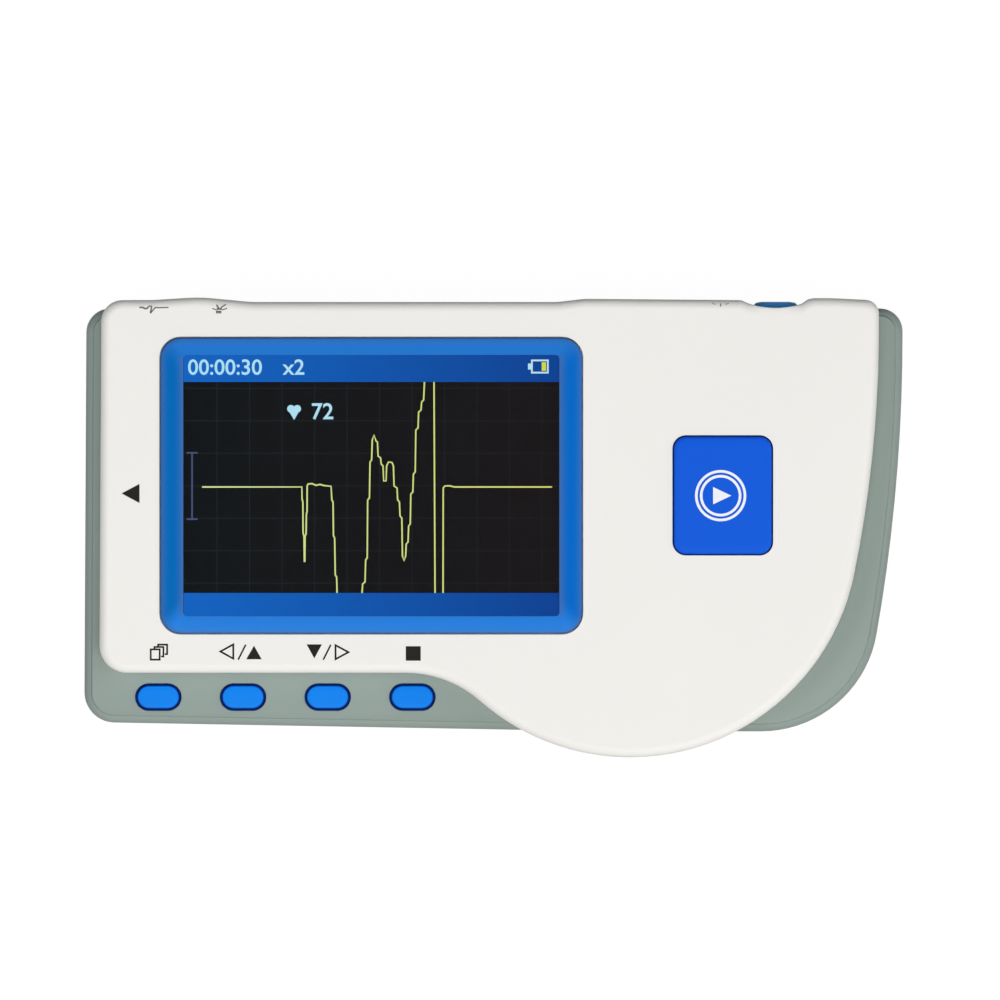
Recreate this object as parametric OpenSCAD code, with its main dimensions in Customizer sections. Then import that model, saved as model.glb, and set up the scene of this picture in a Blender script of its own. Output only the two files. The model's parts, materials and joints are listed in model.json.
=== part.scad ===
// Hand-held ECG home monitor, lying on its back. The front faces up (+Z), the long side runs along X
// and the top side, with the power key, faces +Y. The origin is under the middle of the housing.

/* [Housing] */
// Length over the grey shell
body_l = 130; // [124:1:140]
// Width from the top side to the foot of the belly
body_w = 73; // [70:1:78]
// Thickness over the screen frame and the start button
body_h = 24; // [23.5:0.1:26]
// Height of the key shelf, which is the top of the grey shell
shelf_h = 18; // [17.8:0.1:18.6]
// Height at which the white side wall starts along the top side and the belly
drop_h = 14; // [12:0.5:15]
// Wall of the front shell
front_wall = 1.9; // [1.6:0.1:2.2]
// Wall of the rear shell
rear_wall = 2; // [1.6:0.1:2.4]
// Floor of the rear shell
rear_floor = 2; // [1.8:0.1:2.2]
// How far the screen frame and the start button stand above the white face
face_proud = 0.4; // [0.2:0.1:0.6]

/* [White outline] */
// Radius of the round belly
belly_r = 36.3; // [34:0.1:38]
// Distance of the belly's centre from the right end
belly_from_right = 43.3; // [41:0.1:46]
// Radius of the hollow curve that leads from the key shelf into the belly
neck_r = 17.8; // [12:0.1:22]
// Radius of the long curve up the right side
right_side_r = 196; // [150:1:260]
// Angle below level at which the belly runs into the right side
right_side_turn = 11.5; // [8:0.25:14]
// Grey strip that shows left of the white shell
left_strip = 2.6; // [2:0.1:3.5]
// Radius of the lower left corner
low_corner_r = 4.4; // [3:0.1:6]
// Radius of the upper left corner
high_corner_r = 3.4; // [2.6:0.1:3.8]
// Radius of the upper right corner
right_corner_r = 2.2; // [2:0.1:3]
// Radius of the gentle turn of the top side before that corner
right_ease_r = 8; // [6:0.5:10]
// Rounding between the white face and its side
face_round = 1.5; // [0.8:0.1:1.8]

/* [Grey outline] */
// Distance from the foot of the belly up to the grey lower edge at the left
grey_rise_left = 5.5; // [5:0.1:6.5]
// The same at the right
grey_rise_right = 4.1; // [3.8:0.1:4.8]
// How far the grey side lies inside the white one, along the belly and the top side
grey_inset = 1.2; // [1.1:0.05:1.5]
// Radius of the lower left corner
grey_low_r = 4.8; // [4:0.1:6]
// Radius of the upper left corner
grey_high_r = 3.8; // [3.5:0.1:4.5]
// Radius of the lower right corner
grey_right_low_r = 18.6; // [16:0.1:20]
// Radius of the upper right corner
grey_right_high_r = 3.6; // [3.5:0.1:4.5]
// Radius of the long curve up the right side
grey_side_r = 275; // [220:1:340]
// Width of the rounded rim round the key shelf
shelf_rim = 1.4; // [1:0.1:1.7]
// Height of the fine bead along that rim
rim_bead = 0.08; // [0.04:0.01:0.09]
// Width of the rounding round the back
back_round = 3; // [2:0.1:3.2]

/* [Screen] */
// Gap between the blue frame and the start button
bezel_to_start = 14.55; // [12:0.05:16]
// Gap between the blue frame and the white shell's lower edge
bezel_to_edge = 6.25; // [5.5:0.05:7]
// Corner radius of the blue frame
bezel_r = 3.3; // [3:0.1:5]
// Width of the frame's left and right sides
bezel_side = 3.65; // [3.4:0.05:4]
// Width of the frame's upper and lower sides
bezel_rail = 2.75; // [2.6:0.05:3.2]
// Gap between the left edge of the white shell and the frame
bezel_from_left = 9.5; // [9.2:0.1:10.5]
// Gap between the top of the housing and the frame
bezel_from_top = 6.35; // [5.8:0.05:7]
// Thickness of the clear pane
window_t = 1.2; // [0.8:0.1:1.2]
// Thickness of the display glass
lcd_t = 1.6; // [1.2:0.1:1.8]
// Gap between the display's tray and the screw heads under it
tray_gap = 0.3; // [0.2:0.05:1]

/* [Keys and buttons] */
// Length of a menu key
key_l = 6.9; // [6.5:0.1:8]
// Width of a menu key
key_w = 3.9; // [3.6:0.1:4.8]
// Distance of the last key beyond the point where the shelf's edge starts to bend
key_past_bend = 1.05; // [0:0.05:1.5]
// Distance of the first key from the left end
key_from_left = 11.75; // [11:0.05:12.5]
// Distance of the keys below the white shell's lower edge
key_drop = 3.85; // [3.6:0.05:4]
// How far the menu keys stand above the shelf
key_proud = 0.7; // [0.6:0.1:1.2]
// Travel of a menu key
key_travel = 0.5; // [0.3:0.05:0.6]
// Length of the start button
start_l = 15.5; // [14:0.1:16.5]
// Width of the start button
start_w = 18.6; // [17:0.1:19.5]
// Corner radius of the start button
start_r = 1.9; // [1.5:0.1:3]
// Distance of the start button from the right end
start_from_right = 28.6; // [27:0.1:30]
// Distance of the start button from the top of the housing
start_from_top = 31.4; // [30:0.1:33]
// Travel of the start button
start_travel = 0.6; // [0.4:0.05:0.7]
// Length of the power button
power_l = 7.1; // [6:0.1:7.5]
// Height of the power button
power_w = 3.8; // [3.4:0.1:4]
// Distance of the power button from the right end
power_from_right = 20.2; // [19:0.1:21]
// Travel of the power button
power_travel = 0.5; // [0.3:0.05:0.6]
// Running gap round keys and buttons
key_gap = 0.25; // [0.2:0.05:0.3]

/* [Batteries] */
// Diameter of a battery
cell_d = 10.5; // [10.2:0.1:10.5]
// Length of a battery with its button
cell_l = 44.5; // [44:0.1:45]
// Distance of the battery bay from the left end
bay_from_left = 11; // [10.5:0.1:12]
// Distance of the bay's middle above the middle of the housing
bay_y = 3; // [1:0.1:4]
// Length of a contact spring
spring_l = 4.2; // [3.6:0.1:4.6]
// Turns of a contact spring
spring_turns = 4; // [3:0.5:4.5]
// Wire of a contact spring
spring_wire = 0.5; // [0.4:0.05:0.55]

/* [Electrodes and socket] */
// Length of the electrode on the left end
chest_l = 30; // [24:1:32]
// Height of the electrode on the left end
chest_w = 6.4; // [5.5:0.1:6.6]
// Length of the electrode for the palm
palm_l = 22; // [18:0.5:24]
// Width of the electrode for the palm
palm_w = 14; // [12:0.5:15]
// Distance of both electrodes on the back from the right end
palm_from_right = 25; // [24:0.5:28]
// Distance of the palm electrode from the foot of the belly
palm_from_foot = 25; // [24:0.5:27]
// Distance of the finger dish from the top side
finger_from_top = 18.5; // [18:0.5:20]
// Radius of the hollow of the finger dish
dish_r = 22; // [20:0.5:26]
// Depth of the finger dish
dish_depth = 2.4; // [2:0.1:2.6]
// Distance of the lead socket from the left end
socket_from_left = 19.2; // [18.5:0.1:20]
// Length of the lead socket
socket_l = 8.2; // [7.6:0.1:8.6]
// Height of the lead socket
socket_w = 3.4; // [3.2:0.1:3.6]

/* [Boards and screws] */
// Thickness of the main board
board_t = 1.2; // [1:0.1:1.3]
// Diameter of the case screws
screw_d = 2; // [1.8:0.1:2.2]
// Diameter of the board screws
board_screw_d = 1.6; // [1.4:0.1:1.8]

/* [Hidden] */
$fn = 64;
eps = 0.05;

// Colours
white = "#ecece8";
grey = "#93a39d";
key_blue = "#1e80f0";
start_blue = "#1c5cdc";
frame_blue = "#0c50b4";
steel = "#c8ccd0";
board_green = "#1f6b3f";
black = "#222426";

// Edges of the housing and heights
left = -body_l / 2;
right = body_l / 2;
top = body_w / 2;
foot = -body_w / 2;
face_z = body_h - face_proud;
face_t = 1.8;
under_face = face_z - face_t;
shelf_t = 1.4;
under_shelf = shelf_h - shelf_t;
seam = 0.1;
fit = 0.15;
tongue_inset = front_wall - 0.8;
tongue_drop = 1.1;

// White outline: a belt laid round discs, [x, y, radius], with a negative radius where it bends inward
arc_sag = 0.015;
top_edge = top - 0.4;
display_edge = top - 0.7;
front_left = left + left_strip;
left_lean = 0.28;
shelf_edge = foot + 13.4;
belly = [right - belly_from_right, foot + belly_r];
neck_y = shelf_edge - neck_r;
neck_x = belly[0] - sqrt(pow(belly_r + neck_r, 2) - pow(neck_y - belly[1], 2));
side_reach = right_side_r - belly_r;
side = [belly[0] - side_reach * cos(right_side_turn), belly[1] + side_reach * sin(right_side_turn)];
corner_y = top - 0.35 - right_corner_r;
corner_x = side[0] + sqrt(pow(right_side_r - right_corner_r, 2) - pow(corner_y - side[1], 2));
power_x = right - power_from_right;
scoop_r = 13;
scoop_depth = 1.65;
shoulder_r = 3;
socket_x = left + socket_from_left;
bulge_r = 25;
step_x = belly[0] - 9.4;
ease_r = 6;

front_discs = [
    [front_left + 0.1 - left_lean + low_corner_r, shelf_edge + low_corner_r, low_corner_r],
    [neck_x, neck_y, -neck_r],
    [belly[0], belly[1], belly_r],
    [side[0], side[1], right_side_r],
    [corner_x, corner_y, right_corner_r],
    [power_x + 8.7, top - 0.1 - right_ease_r, right_ease_r],
    [power_x + 6.2, top - 0.1 - shoulder_r, shoulder_r],
    [power_x, top - scoop_depth + scoop_r, -scoop_r],
    [power_x - 5.9, top_edge - shoulder_r, shoulder_r],
    [step_x + 2.5, top_edge + 0.2 - ease_r, ease_r],
    [step_x - 2.5, display_edge + ease_r, -ease_r],
    [socket_x + 7.8, display_edge + 10, -10],
    [socket_x - 1.2, top - bulge_r, bulge_r],
    [socket_x - 8.7, top_edge + 8, -8],
    [front_left + 0.1 + high_corner_r, top_edge - high_corner_r, high_corner_r]
];

// Grey outline
grey_low_left = foot + grey_rise_left;
grey_low_right = foot + grey_rise_right;
grey_top = top_edge - grey_inset - 0.1;
grey_belly_r = belly_r - grey_inset;
web_r = 3;
web_left_y = grey_low_right - web_r + 0.2;
web_left_x = belly[0] - sqrt(pow(grey_belly_r + web_r, 2) - pow(web_left_y - belly[1], 2));
web_right_y = grey_low_right - web_r;
web_right_x = belly[0] + sqrt(pow(grey_belly_r + web_r, 2) - pow(web_right_y - belly[1], 2));
grey_side_turn = 9.96;
grey_side = [right - grey_side_r, top - 6];
grey_reach = grey_side_r - grey_right_low_r;
grey_right_low = [grey_side[0] + grey_reach * cos(grey_side_turn), grey_low_right + grey_right_low_r];
grey_corner_y = grey_top - grey_right_high_r;
grey_corner_x = grey_side[0]
    + sqrt(pow(grey_side_r - grey_right_high_r, 2) - pow(grey_corner_y - grey_side[1], 2));

rear_discs = [
    [left + grey_low_r, grey_low_left + grey_low_r, grey_low_r],
    [web_left_x, web_left_y, -web_r],
    [belly[0], belly[1], grey_belly_r],
    [web_right_x, web_right_y, -web_r],
    [grey_right_low[0], grey_right_low[1], grey_right_low_r],
    [grey_side[0], grey_side[1], grey_side_r],
    [grey_corner_x, grey_corner_y, grey_right_high_r],
    [left + 0.3 + grey_high_r, grey_top - grey_high_r, grey_high_r]
];

// Screen, which ends a set gap before the start button
start_x = right - start_from_right;
start_y = top - start_from_top;
bezel_left = front_left + bezel_from_left;
bezel_l = start_x - start_l / 2 - bezel_to_start - bezel_left;
bezel_w = top - bezel_from_top - shelf_edge - bezel_to_edge;
bezel_x = bezel_left + bezel_l / 2;
bezel_y = top - bezel_from_top - bezel_w / 2;
bezel_seat = 1;
seat_z = face_z - bezel_seat;
opening_inset = 1.2;
window_l = bezel_l - 2 * bezel_side;
window_w = bezel_w - 2 * bezel_rail;
window_lap = 0.6;
lap_gap = 0.1;
lip_z = face_z - 0.55;
window_z = lip_z - window_t;
gasket_t = 0.5;
lcd_z = window_z - gasket_t - lcd_t;
lcd_l = window_l + 7.2;
lcd_w = window_w + 4.8;

// Batteries and their bay
cell_gap = 0.4;
contact_t = 0.4;
door_z = 0.1;
door_panel = 1;
tongue_t = 0.9;
tongue_w = 0.8;
rail_gap = 0.15;
ledge_z = door_z + door_panel + tongue_t + rail_gap;
pad_t = 1;
cell_z = ledge_z + 0.1 + cell_d / 2;
bay_l = cell_l + contact_t + spring_l + 0.4;
bay_w = 2 * cell_d + 3 * cell_gap;
bay_wall = 1.2;
bay_roof = cell_z + cell_d / 2 + 0.2;
bay_left = left + bay_from_left;
bay_x = bay_left + bay_l / 2;
door_right = bay_left + bay_l + 2.2;
door_w = bay_w + 4.4;
cell_offset = (cell_d + cell_gap) / 2;

// Boards
roof_t = 0.8;
board_z = bay_roof + roof_t + 0.2;
board_top = board_z + board_t;
board_gap = 1;
key_board_t = 1;
switch_h = 0.8;
key_flange_t = 0.5;
key_flange_z = under_shelf - 0.1 - key_flange_t;
plunger_d = 2;
plunger_top = key_flange_z - key_travel - 0.05;
key_board_top = plunger_top - 0.25 - switch_h;
key_board_z = key_board_top - key_board_t;
key_board_w = 5.6;
post_d = 4.6;

// Keys
key_y = shelf_edge - key_drop;
key_pitch = (neck_x + key_past_bend - left - key_from_left) / 3;
key_x = [for (i = [0 : 3]) left + key_from_left + i * key_pitch];
key_flange = [0.8, 0.3];
key_board_y = key_y + 1;
key_post_gap = 5.6;
key_posts = [key_x[0] - key_post_gap, key_x[3] + key_post_gap];
start_flange_t = 0.8;
start_flange_z = under_face - 0.1 - start_flange_t;
start_stem_end = board_top + 4.2;
pad_margin = 3.7;
pad_depth = 0.15;
power_z = board_top + 2.6;
power_tip = top - 0.65;
power_flange_t = 0.8;
power_flange_y = top - scoop_depth - front_wall - 0.1 - power_flange_t;

socket_in = 1;

// Screws: [x, y]
boss_d = 5;
rear_boss_d = 7;
boss_joint = 10;
head_z = 6;
head_d = 4;
head_t = 1.4;
case_posts = [
    [left + 7.7, top - 8],
    [left + 7.7, shelf_edge + 6.6],
    [right - 9.6, top - 8],
    [belly[0] + 8.4, foot + 7.6]
];
board_posts = [
    [bay_left + 5, shelf_edge + 6.8],
    [bay_left + 5, bay_y + door_w / 2 + 7.5],
    [right - 17, top - 13.5],
    [belly[0] + 10, foot + 18]
];
board_head_d = 3;
board_head_t = 0.9;
tray_z = board_top + board_head_t + tray_gap;

// Chips as [x, y, length, width, height], from the start button's middle and from the screen's
start_chips = [
    [-14.5, -17, 10, 10, 1.2], [-14, 16, 9, 6, 1.1], [4, -16, 7, 7, 1], [-14, 0, 5, 3.2, 1], [12, -4, 3, 5, 1.1]
];
screen_chips = [[0, 8, 12, 8, 1.2], [-18, -4, 6, 6, 1]];

// Flat cables, and the place of the display's own left of its middle
cable_t = 0.3;
display_cable_w = 14;
display_cable_shift = 6;
cable_fold = 5;
key_cable_w = 8;

// Buzzer under the board, over its sound holes
buzzer_d = 12;
buzzer_t = 3.2;
buzzer_from_door = 14;
buzzer_from_top = 16;
buzzer_x = door_right + buzzer_from_door;
buzzer_y = top - buzzer_from_top;
sound_hole_d = 1.3;
sound_ring_r = 2.6;

// Electrodes
chest_y = 1;
chest_z = 8.2;
plate_t = 0.9;
plate_lap = 0.1;
palm_x = right - palm_from_right;
palm_y = foot + palm_from_foot;
finger_x = right - palm_from_right;
finger_y = top - finger_from_top;
pin_d = 2.4;
dish_half = sqrt(pow(dish_r, 2) - pow(dish_r - dish_depth, 2)) + plate_t;

// Section [radius, z] of the finger dish, grown by the given amount and ended at height z
function dish_arc(grown, z) =
    let (reach = acos((dish_r - dish_depth + z) / (dish_r + grown)))
    [for (k = [8 : -1 : 0]) [(dish_r + grown) * sin(reach * k / 8),
                             (dish_r + grown) * cos(reach * k / 8) - dish_r + dish_depth]];

// Direction of the outward normal on the straight run from disc a to disc b
function run_normal(a, b) =
    let (dx = b[0] - a[0], dy = b[1] - a[1])
    atan2(dy, dx) - acos(max(-1, min(1, (a[2] - b[2]) / norm([dx, dy]))));

// Length of that straight run, which is nought where one arc runs straight into the other
function run_length(a, b) =
    sqrt(max(0, pow(b[0] - a[0], 2) + pow(b[1] - a[1], 2) - pow(a[2] - b[2], 2)));

// Turn from one normal to the next: to the left round a disc, to the right where the outline bends inward
function turn(from, to, r) = r > 0 ? (to - from + 720) % 360 : -((from - to + 720) % 360);

// Number of chords that keep an arc within arc_sag of its circle
function chords(r, sweep) = max(1, ceil(abs(sweep) / (2 * acos(1 - arc_sag / max(abs(r), 0.5)))));

// Points of the belt round the discs, moved inward by inset
function belt(discs, inset = 0) = [
    for (i = [0 : len(discs) - 1])
        let (n = len(discs), before = discs[(i + n - 1) % n], disc = discs[i], after = discs[(i + 1) % n],
             start = run_normal(before, disc), sweep = turn(start, run_normal(disc, after), disc[2]),
             count = chords(disc[2], sweep), first = run_length(before, disc) < 0.01 ? 1 : 0)
            for (k = [first : count])
                let (a = start + sweep * k / count)
                    [disc[0] + (disc[2] - inset) * cos(a), disc[1] + (disc[2] - inset) * sin(a)]
];

// Discs of a rectangle with rounded corners
function rounded(l, w, r) = [
    for (c = [[-1, -1], [1, -1], [1, 1], [-1, 1]]) [c[0] * (l / 2 - r), c[1] * (w / 2 - r), r]
];

// Profile points [height, inset] of a quarter rounding, from the side up to the face at height z
function round_up(z, h, w, n = 5) = [for (k = [0 : n]) [z - h + h * sin(90 * k / n), w * (1 - cos(90 * k / n))]];

// The same from the face at height z up to the side
function round_down(z, h, w, n = 5) =
    [for (k = [n : -1 : 0]) [z + h - h * sin(90 * k / n), w * (1 - cos(90 * k / n))]];

// Solid through the belt's outline at each [height, inset] of the profile
module loft(discs, profile) {
    rings = [for (p = profile) [for (q = belt(discs, p[1])) [q[0], q[1], p[0]]]];
    n = len(rings[0]);
    m = len(rings);
    polyhedron(
        points = [for (ring = rings) each ring],
        faces = [
            [for (i = [n - 1 : -1 : 0]) (m - 1) * n + i],
            [for (i = [0 : n - 1]) i],
            for (j = [0 : m - 2], i = [0 : n - 1])
                let (a = j * n + i, b = j * n + (i + 1) % n) each [[a, b + n, b], [a, a + n, b + n]]
        ]
    );
}

// Closed frame whose section is a loop of [inset in x, inset in y, height] points round a rounded rectangle
module frame_loft(l, w, r, section) {
    r_min = 0.6;
    rings = [for (p = section)
        let (discs = rounded(l - 2 * p[0], w - 2 * p[1], max(r_min, r - p[0])))
            [for (d = [0 : 3], k = [0 : 6])
                let (a = 180 + 90 * d + 15 * k) [discs[d][0] + discs[d][2] * cos(a),
                                                 discs[d][1] + discs[d][2] * sin(a), p[2]]]];
    n = len(rings[0]);
    m = len(rings);
    polyhedron(
        points = [for (ring = rings) each ring],
        faces = [for (j = [0 : m - 1], i = [0 : n - 1])
            let (a = j * n + i, b = j * n + (i + 1) % n, c = ((j + 1) % m) * n + i,
                 d = ((j + 1) % m) * n + (i + 1) % n) each [[a, d, b], [a, c, d]]]
    );
}

// Prism over the belt's outline between two heights
module belt_prism(discs, inset, z0, z1)
    translate([0, 0, z0]) linear_extrude(z1 - z0) polygon(belt(discs, inset));

// Upright block with rounded corners
module block(l, w, r, z0, z1)
    translate([0, 0, z0]) linear_extrude(z1 - z0) {
        square([l - 2 * r, w], center = true);
        square([l, w - 2 * r], center = true);
        for (c = rounded(l, w, r)) translate([c[0], c[1]]) circle(r);
    }

// Upright cylinder between two heights
module post(d, z0, z1) translate([0, 0, z0]) cylinder(d = d, h = z1 - z0);

// Box between two corners
module span(low, high) translate(low) cube(high - low);

// Strips along the top side and the belly where the white wall drops past the grey one
module drop_zones(gap = 0) {
    translate([left + 7.5 - gap, top - 8]) square([body_l - 15 + 2 * gap, 12]);
    translate([belly[0] - 15.2 - gap, foot - 4]) square([30.4 + 2 * gap, 4 + grey_rise_right - 0.6]);
}

// White form, cut flat at its face. A cap over so bent an outline can fold, so it lies where a cut removes it.
module white_form() difference() {
    loft(front_discs, concat(
        [[drop_h - 2, 0]], round_up(face_z, face_round, face_round), [[face_z + 1, face_round]]));
    span([-body_l, -body_w, face_z], [body_l, body_w, face_z + 2]);
}

// Grey form with its rounded back and beaded rim. The shelf is a prism over the loft's sunken cap.
module grey_form() difference() {
    union() {
        loft(rear_discs, concat(
            [[-1, back_round]], round_down(0, 5, back_round),
            [[shelf_h - 1.6, 0], [shelf_h - 1, 0.2], [shelf_h - 0.56, 0.58], [shelf_h - 0.36, 1.04],
             [shelf_h + rim_bead, shelf_rim - 0.14], [shelf_h + rim_bead, shelf_rim + 0.08],
             [shelf_h - rim_bead, shelf_rim + 0.72], [shelf_h - 0.6, shelf_rim + 0.72]]));
        belt_prism(rear_discs, shelf_rim + 0.2, shelf_h - 1.2, shelf_h);
    }
    span([-body_l, -body_w, -2], [body_l, body_w, 0]);
}

module front_shell() color(white) {
    difference() {
        union() {
            difference() {
                union() {
                    difference() {
                        white_form();
                        front_foot();
                    }
                    front_tongue();
                }
                belt_prism(front_discs, front_wall, drop_h - 4, under_face);
            }
            for (p = case_posts) translate(p) post(boss_d, boss_joint, under_face + eps);
            translate([bezel_x, bezel_y]) screen_ribs();
            translate([start_x, start_y]) start_guide();
        }
        translate([bezel_x, bezel_y]) {
            block(bezel_l + 2 * fit, bezel_w + 2 * fit, bezel_r + fit, seat_z, face_z + 1);
            block(bezel_l - 2 * opening_inset, bezel_w - 2 * opening_inset, bezel_r - opening_inset,
                  under_face - 1, seat_z + eps);
        }
        translate([start_x, start_y]) {
            block(start_l + 2 * key_gap, start_w + 2 * key_gap, start_r + key_gap, under_face - 1, face_z + 1);
            start_pad();
        }
        translate([power_x, top, power_z]) rotate([90, 0, 0])
            block(power_l + 2 * key_gap, power_w + 2 * key_gap, power_w / 2.6, -2, front_wall + 4);
        translate([socket_x, top, board_top + socket_w / 2]) rotate([90, 0, 0])
            block(socket_l + 2 * fit, socket_w + 2 * fit, 1, -2, front_wall + 3);
        for (p = case_posts) translate(p) post(screw_d + 0.1, boss_joint - 1, boss_joint + 9);
    }
}

// What is cut away below the white shell: all under the shelf line, and the drop zones' own lower end
module front_foot() {
    z0 = drop_h - 3;
    span([-body_l, -body_w, z0], [body_l, body_w, drop_h + seam]);
    translate([0, 0, z0]) linear_extrude(shelf_h + seam - z0) difference() {
        square([2 * body_l, 2 * body_w], center = true);
        drop_zones();
    }
}

// Tongue of the front shell that drops inside the grey shell's opening, before it is hollowed
module front_tongue()
    translate([0, 0, shelf_h - tongue_drop]) linear_extrude(tongue_drop + 1) difference() {
        polygon(belt(front_discs, tongue_inset));
        drop_zones(0.3);
    }

// Rib under the face round the screen opening
module screen_ribs() {
    difference() {
        block(bezel_l + 0.8, bezel_w + 0.8, bezel_r, under_face - 0.4, under_face + eps);
        block(bezel_l - 0.8, bezel_w - 0.8, bezel_r - 0.8, under_face - 1, under_face + 1);
    }
}

// Collar under the face that guides the start button's flange
module start_guide() {
    inner = 2.4;
    difference() {
        block(start_l + inner + 2, start_w + inner + 2, start_r + 1.6, start_flange_z - 1.4, under_face + eps);
        block(start_l + inner, start_w + inner, start_r + 0.6, start_flange_z - 2, under_face + 1);
    }
}

// Shallow dish round the start button
module start_pad() {
    l = start_l + 2 * pad_margin;
    w = start_w + 2 * pad_margin;
    loft(rounded(l, w, 4.5), [[face_z - pad_depth, 1.2], [face_z + 0.05, 0]]);
}

module rear_shell() color(grey) {
    difference() {
        union() {
            difference() {
                grey_form();
                belt_prism(rear_discs, rear_wall, rear_floor, under_shelf);
                belt_prism(front_discs, tongue_inset - fit, under_shelf - eps, shelf_h + 1);
                translate([0, 0, drop_h]) linear_extrude(body_h) drop_zones(seam);
            }
            bay_walls();
            translate([finger_x, finger_y]) post(2 * dish_half + 7, 1, dish_depth + 2.4);
            for (p = case_posts) translate(p) post(rear_boss_d, 1, boss_joint - seam);
            for (p = board_posts) translate(p) post(post_d, 1, board_z);
            for (x = key_posts) translate([x, key_board_y]) post(post_d, 1, key_board_z);
        }
        bay_cuts();
        electrode_cuts();
        translate([buzzer_x, buzzer_y]) for (a = [0 : 60 : 300])
            rotate(a) translate([sound_ring_r, 0]) post(sound_hole_d, -1, rear_floor + 1);
        translate([buzzer_x, buzzer_y]) post(sound_hole_d, -1, rear_floor + 1);
        for (p = case_posts) translate(p) {
            post(screw_d + 0.4, -1, boss_joint + 1);
            post(head_d + 0.6, -1, head_z);
        }
        for (p = board_posts) translate(p) post(board_screw_d + 0.1, board_z - 6, board_z + 1);
        for (x = key_posts) translate([x, key_board_y])
            post(board_screw_d + 0.1, key_board_z - 6, key_board_z + 1);
        for (x = key_x) translate([x, key_y]) {
            block(key_l + 2 * key_gap, key_w + 2 * key_gap, key_w / 2 + key_gap - 0.01,
                  under_shelf - 1, shelf_h + 1);
            block(key_l + 2 * (key_flange[0] + key_gap), key_w + 2 * (key_flange[1] + key_gap),
                  key_w / 2, key_board_z, under_shelf);
        }
    }
}

// Battery bay and the thick pad that holds the door's rails
module bay_walls() {
    translate([bay_x, bay_y]) {
        block(bay_l + 2 * bay_wall, bay_w + 2 * bay_wall, 1, 1, bay_roof + roof_t);
        span([left + 1.2 - bay_x, -door_w / 2 - tongue_w - 1.8, 1],
             [door_right + 1.8 - bay_x, door_w / 2 + tongue_w + 1.8, ledge_z + pad_t]);
    }
}

module bay_cuts() {
    translate([bay_x, bay_y]) block(bay_l, bay_w, 0.6, -1, bay_roof);
    span([left - 1, bay_y - door_w / 2, -1], [door_right, bay_y + door_w / 2, ledge_z]);
    span([left - 1, bay_y - door_w / 2 - tongue_w - rail_gap, door_z + door_panel - rail_gap],
         [door_right, bay_y + door_w / 2 + tongue_w + rail_gap, ledge_z]);
}

module electrode_cuts() {
    translate([finger_x, finger_y]) {
        rotate_extrude() polygon(concat([[0, -1]], dish_arc(plate_t + plate_lap, -1)));
        post(pin_d, 1, dish_depth + 5);
    }
    translate([palm_x, palm_y]) {
        block(palm_l + 2 * plate_lap, palm_w + 2 * plate_lap, 3, -1, door_z + plate_t + plate_lap);
        post(pin_d, -1, rear_floor + 1);
    }
    translate([left, chest_y, chest_z]) rotate([0, 90, 0]) {
        block(chest_w + 2 * plate_lap, chest_l + 2 * plate_lap, chest_w / 2, -1, 0.2 + plate_t + plate_lap);
        post(pin_d, -1, rear_wall + 1);
    }
}

module screen_bezel() color(frame_blue)
    translate([bezel_x, bezel_y]) {
        slope = [bezel_side - 0.55, bezel_rail - 0.5];
        lap = [bezel_side - window_lap - lap_gap, bezel_rail - window_lap - lap_gap];
        neck = opening_inset + fit;
        frame_loft(bezel_l, bezel_w, bezel_r, [
            [0, 0, seat_z], [0, 0, body_h - 0.5], [0.15, 0.15, body_h - 0.18], [0.5, 0.45, body_h],
            [1, 0.85, body_h], [slope[0], slope[1], face_z - 0.1], [bezel_side, bezel_rail, face_z - 0.25],
            [bezel_side, bezel_rail, lip_z], [lap[0], lap[1], lip_z], [lap[0], lap[1], window_z - lap_gap],
            [neck, neck, window_z - lap_gap], [neck, neck, seat_z]
        ]);
    }

module screen_window() color("#c8dcf0", 0.4)
    translate([bezel_x, bezel_y])
        block(window_l + 2 * window_lap, window_w + 2 * window_lap, 1.4, window_z, lip_z);

module screen_gasket() color(black)
    translate([bezel_x, bezel_y]) difference() {
        block(window_l + 2 * window_lap, window_w + 2 * window_lap, 1.4, window_z - gasket_t, window_z);
        block(window_l + 0.4, window_w + 0.4, 0.6, window_z - gasket_t - 1, window_z + 1);
    }

module lcd_glass() color("#14181c")
    translate([bezel_x, bezel_y]) block(lcd_l - 1, lcd_w - 1, 0.5, lcd_z, lcd_z + lcd_t);

module lcd_tray() color(white)
    translate([bezel_x, bezel_y]) {
        difference() {
            block(lcd_l, lcd_w, 1, tray_z, lcd_z);
            block(lcd_l - 3, lcd_w - 3, 1, tray_z - 1, lcd_z - 1);
        }
        for (x = [-1, 1], y = [-1, 1])
            translate([x * (lcd_l / 2 - 1.6), y * (lcd_w / 2 - 4)]) post(2.4, board_top, tray_z + 1);
    }

// Flat cable that leaves the display's lower edge and folds under onto the board
module display_cable() color("#c87828")
    translate([bezel_x - display_cable_shift, bezel_y - lcd_w / 2, 0])
    rotate([90, 0, 90]) linear_extrude(display_cable_w) {
        t = cable_t;
        z_top = lcd_z + 0.6;
        polygon([
            [0.45, z_top], [-1, z_top], [-1.2, z_top - 0.2], [-1.2, board_top + 0.2], [-1, board_top],
            [cable_fold, board_top], [cable_fold, board_top + t], [-0.9, board_top + t],
            [-0.9, z_top - t], [0.45, z_top - t]
        ]);
    }

module main_board() color(board_green)
    translate([0, 0, board_z]) linear_extrude(board_t) difference() {
        offset(delta = -board_gap) intersection() {
            polygon(belt(front_discs, front_wall));
            polygon(belt(rear_discs, rear_wall));
        }
        for (p = case_posts) translate(p) circle(d = boss_d + 0.8);
        for (p = board_posts) translate(p) circle(d = board_screw_d + 0.2);
    }

// Processor, memory, amplifier, clock crystal and connectors on the main board
module board_chips() color(black) {
    translate([start_x, start_y]) chips(start_chips);
    translate([bezel_x, bezel_y]) chips(screen_chips);
}

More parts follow.
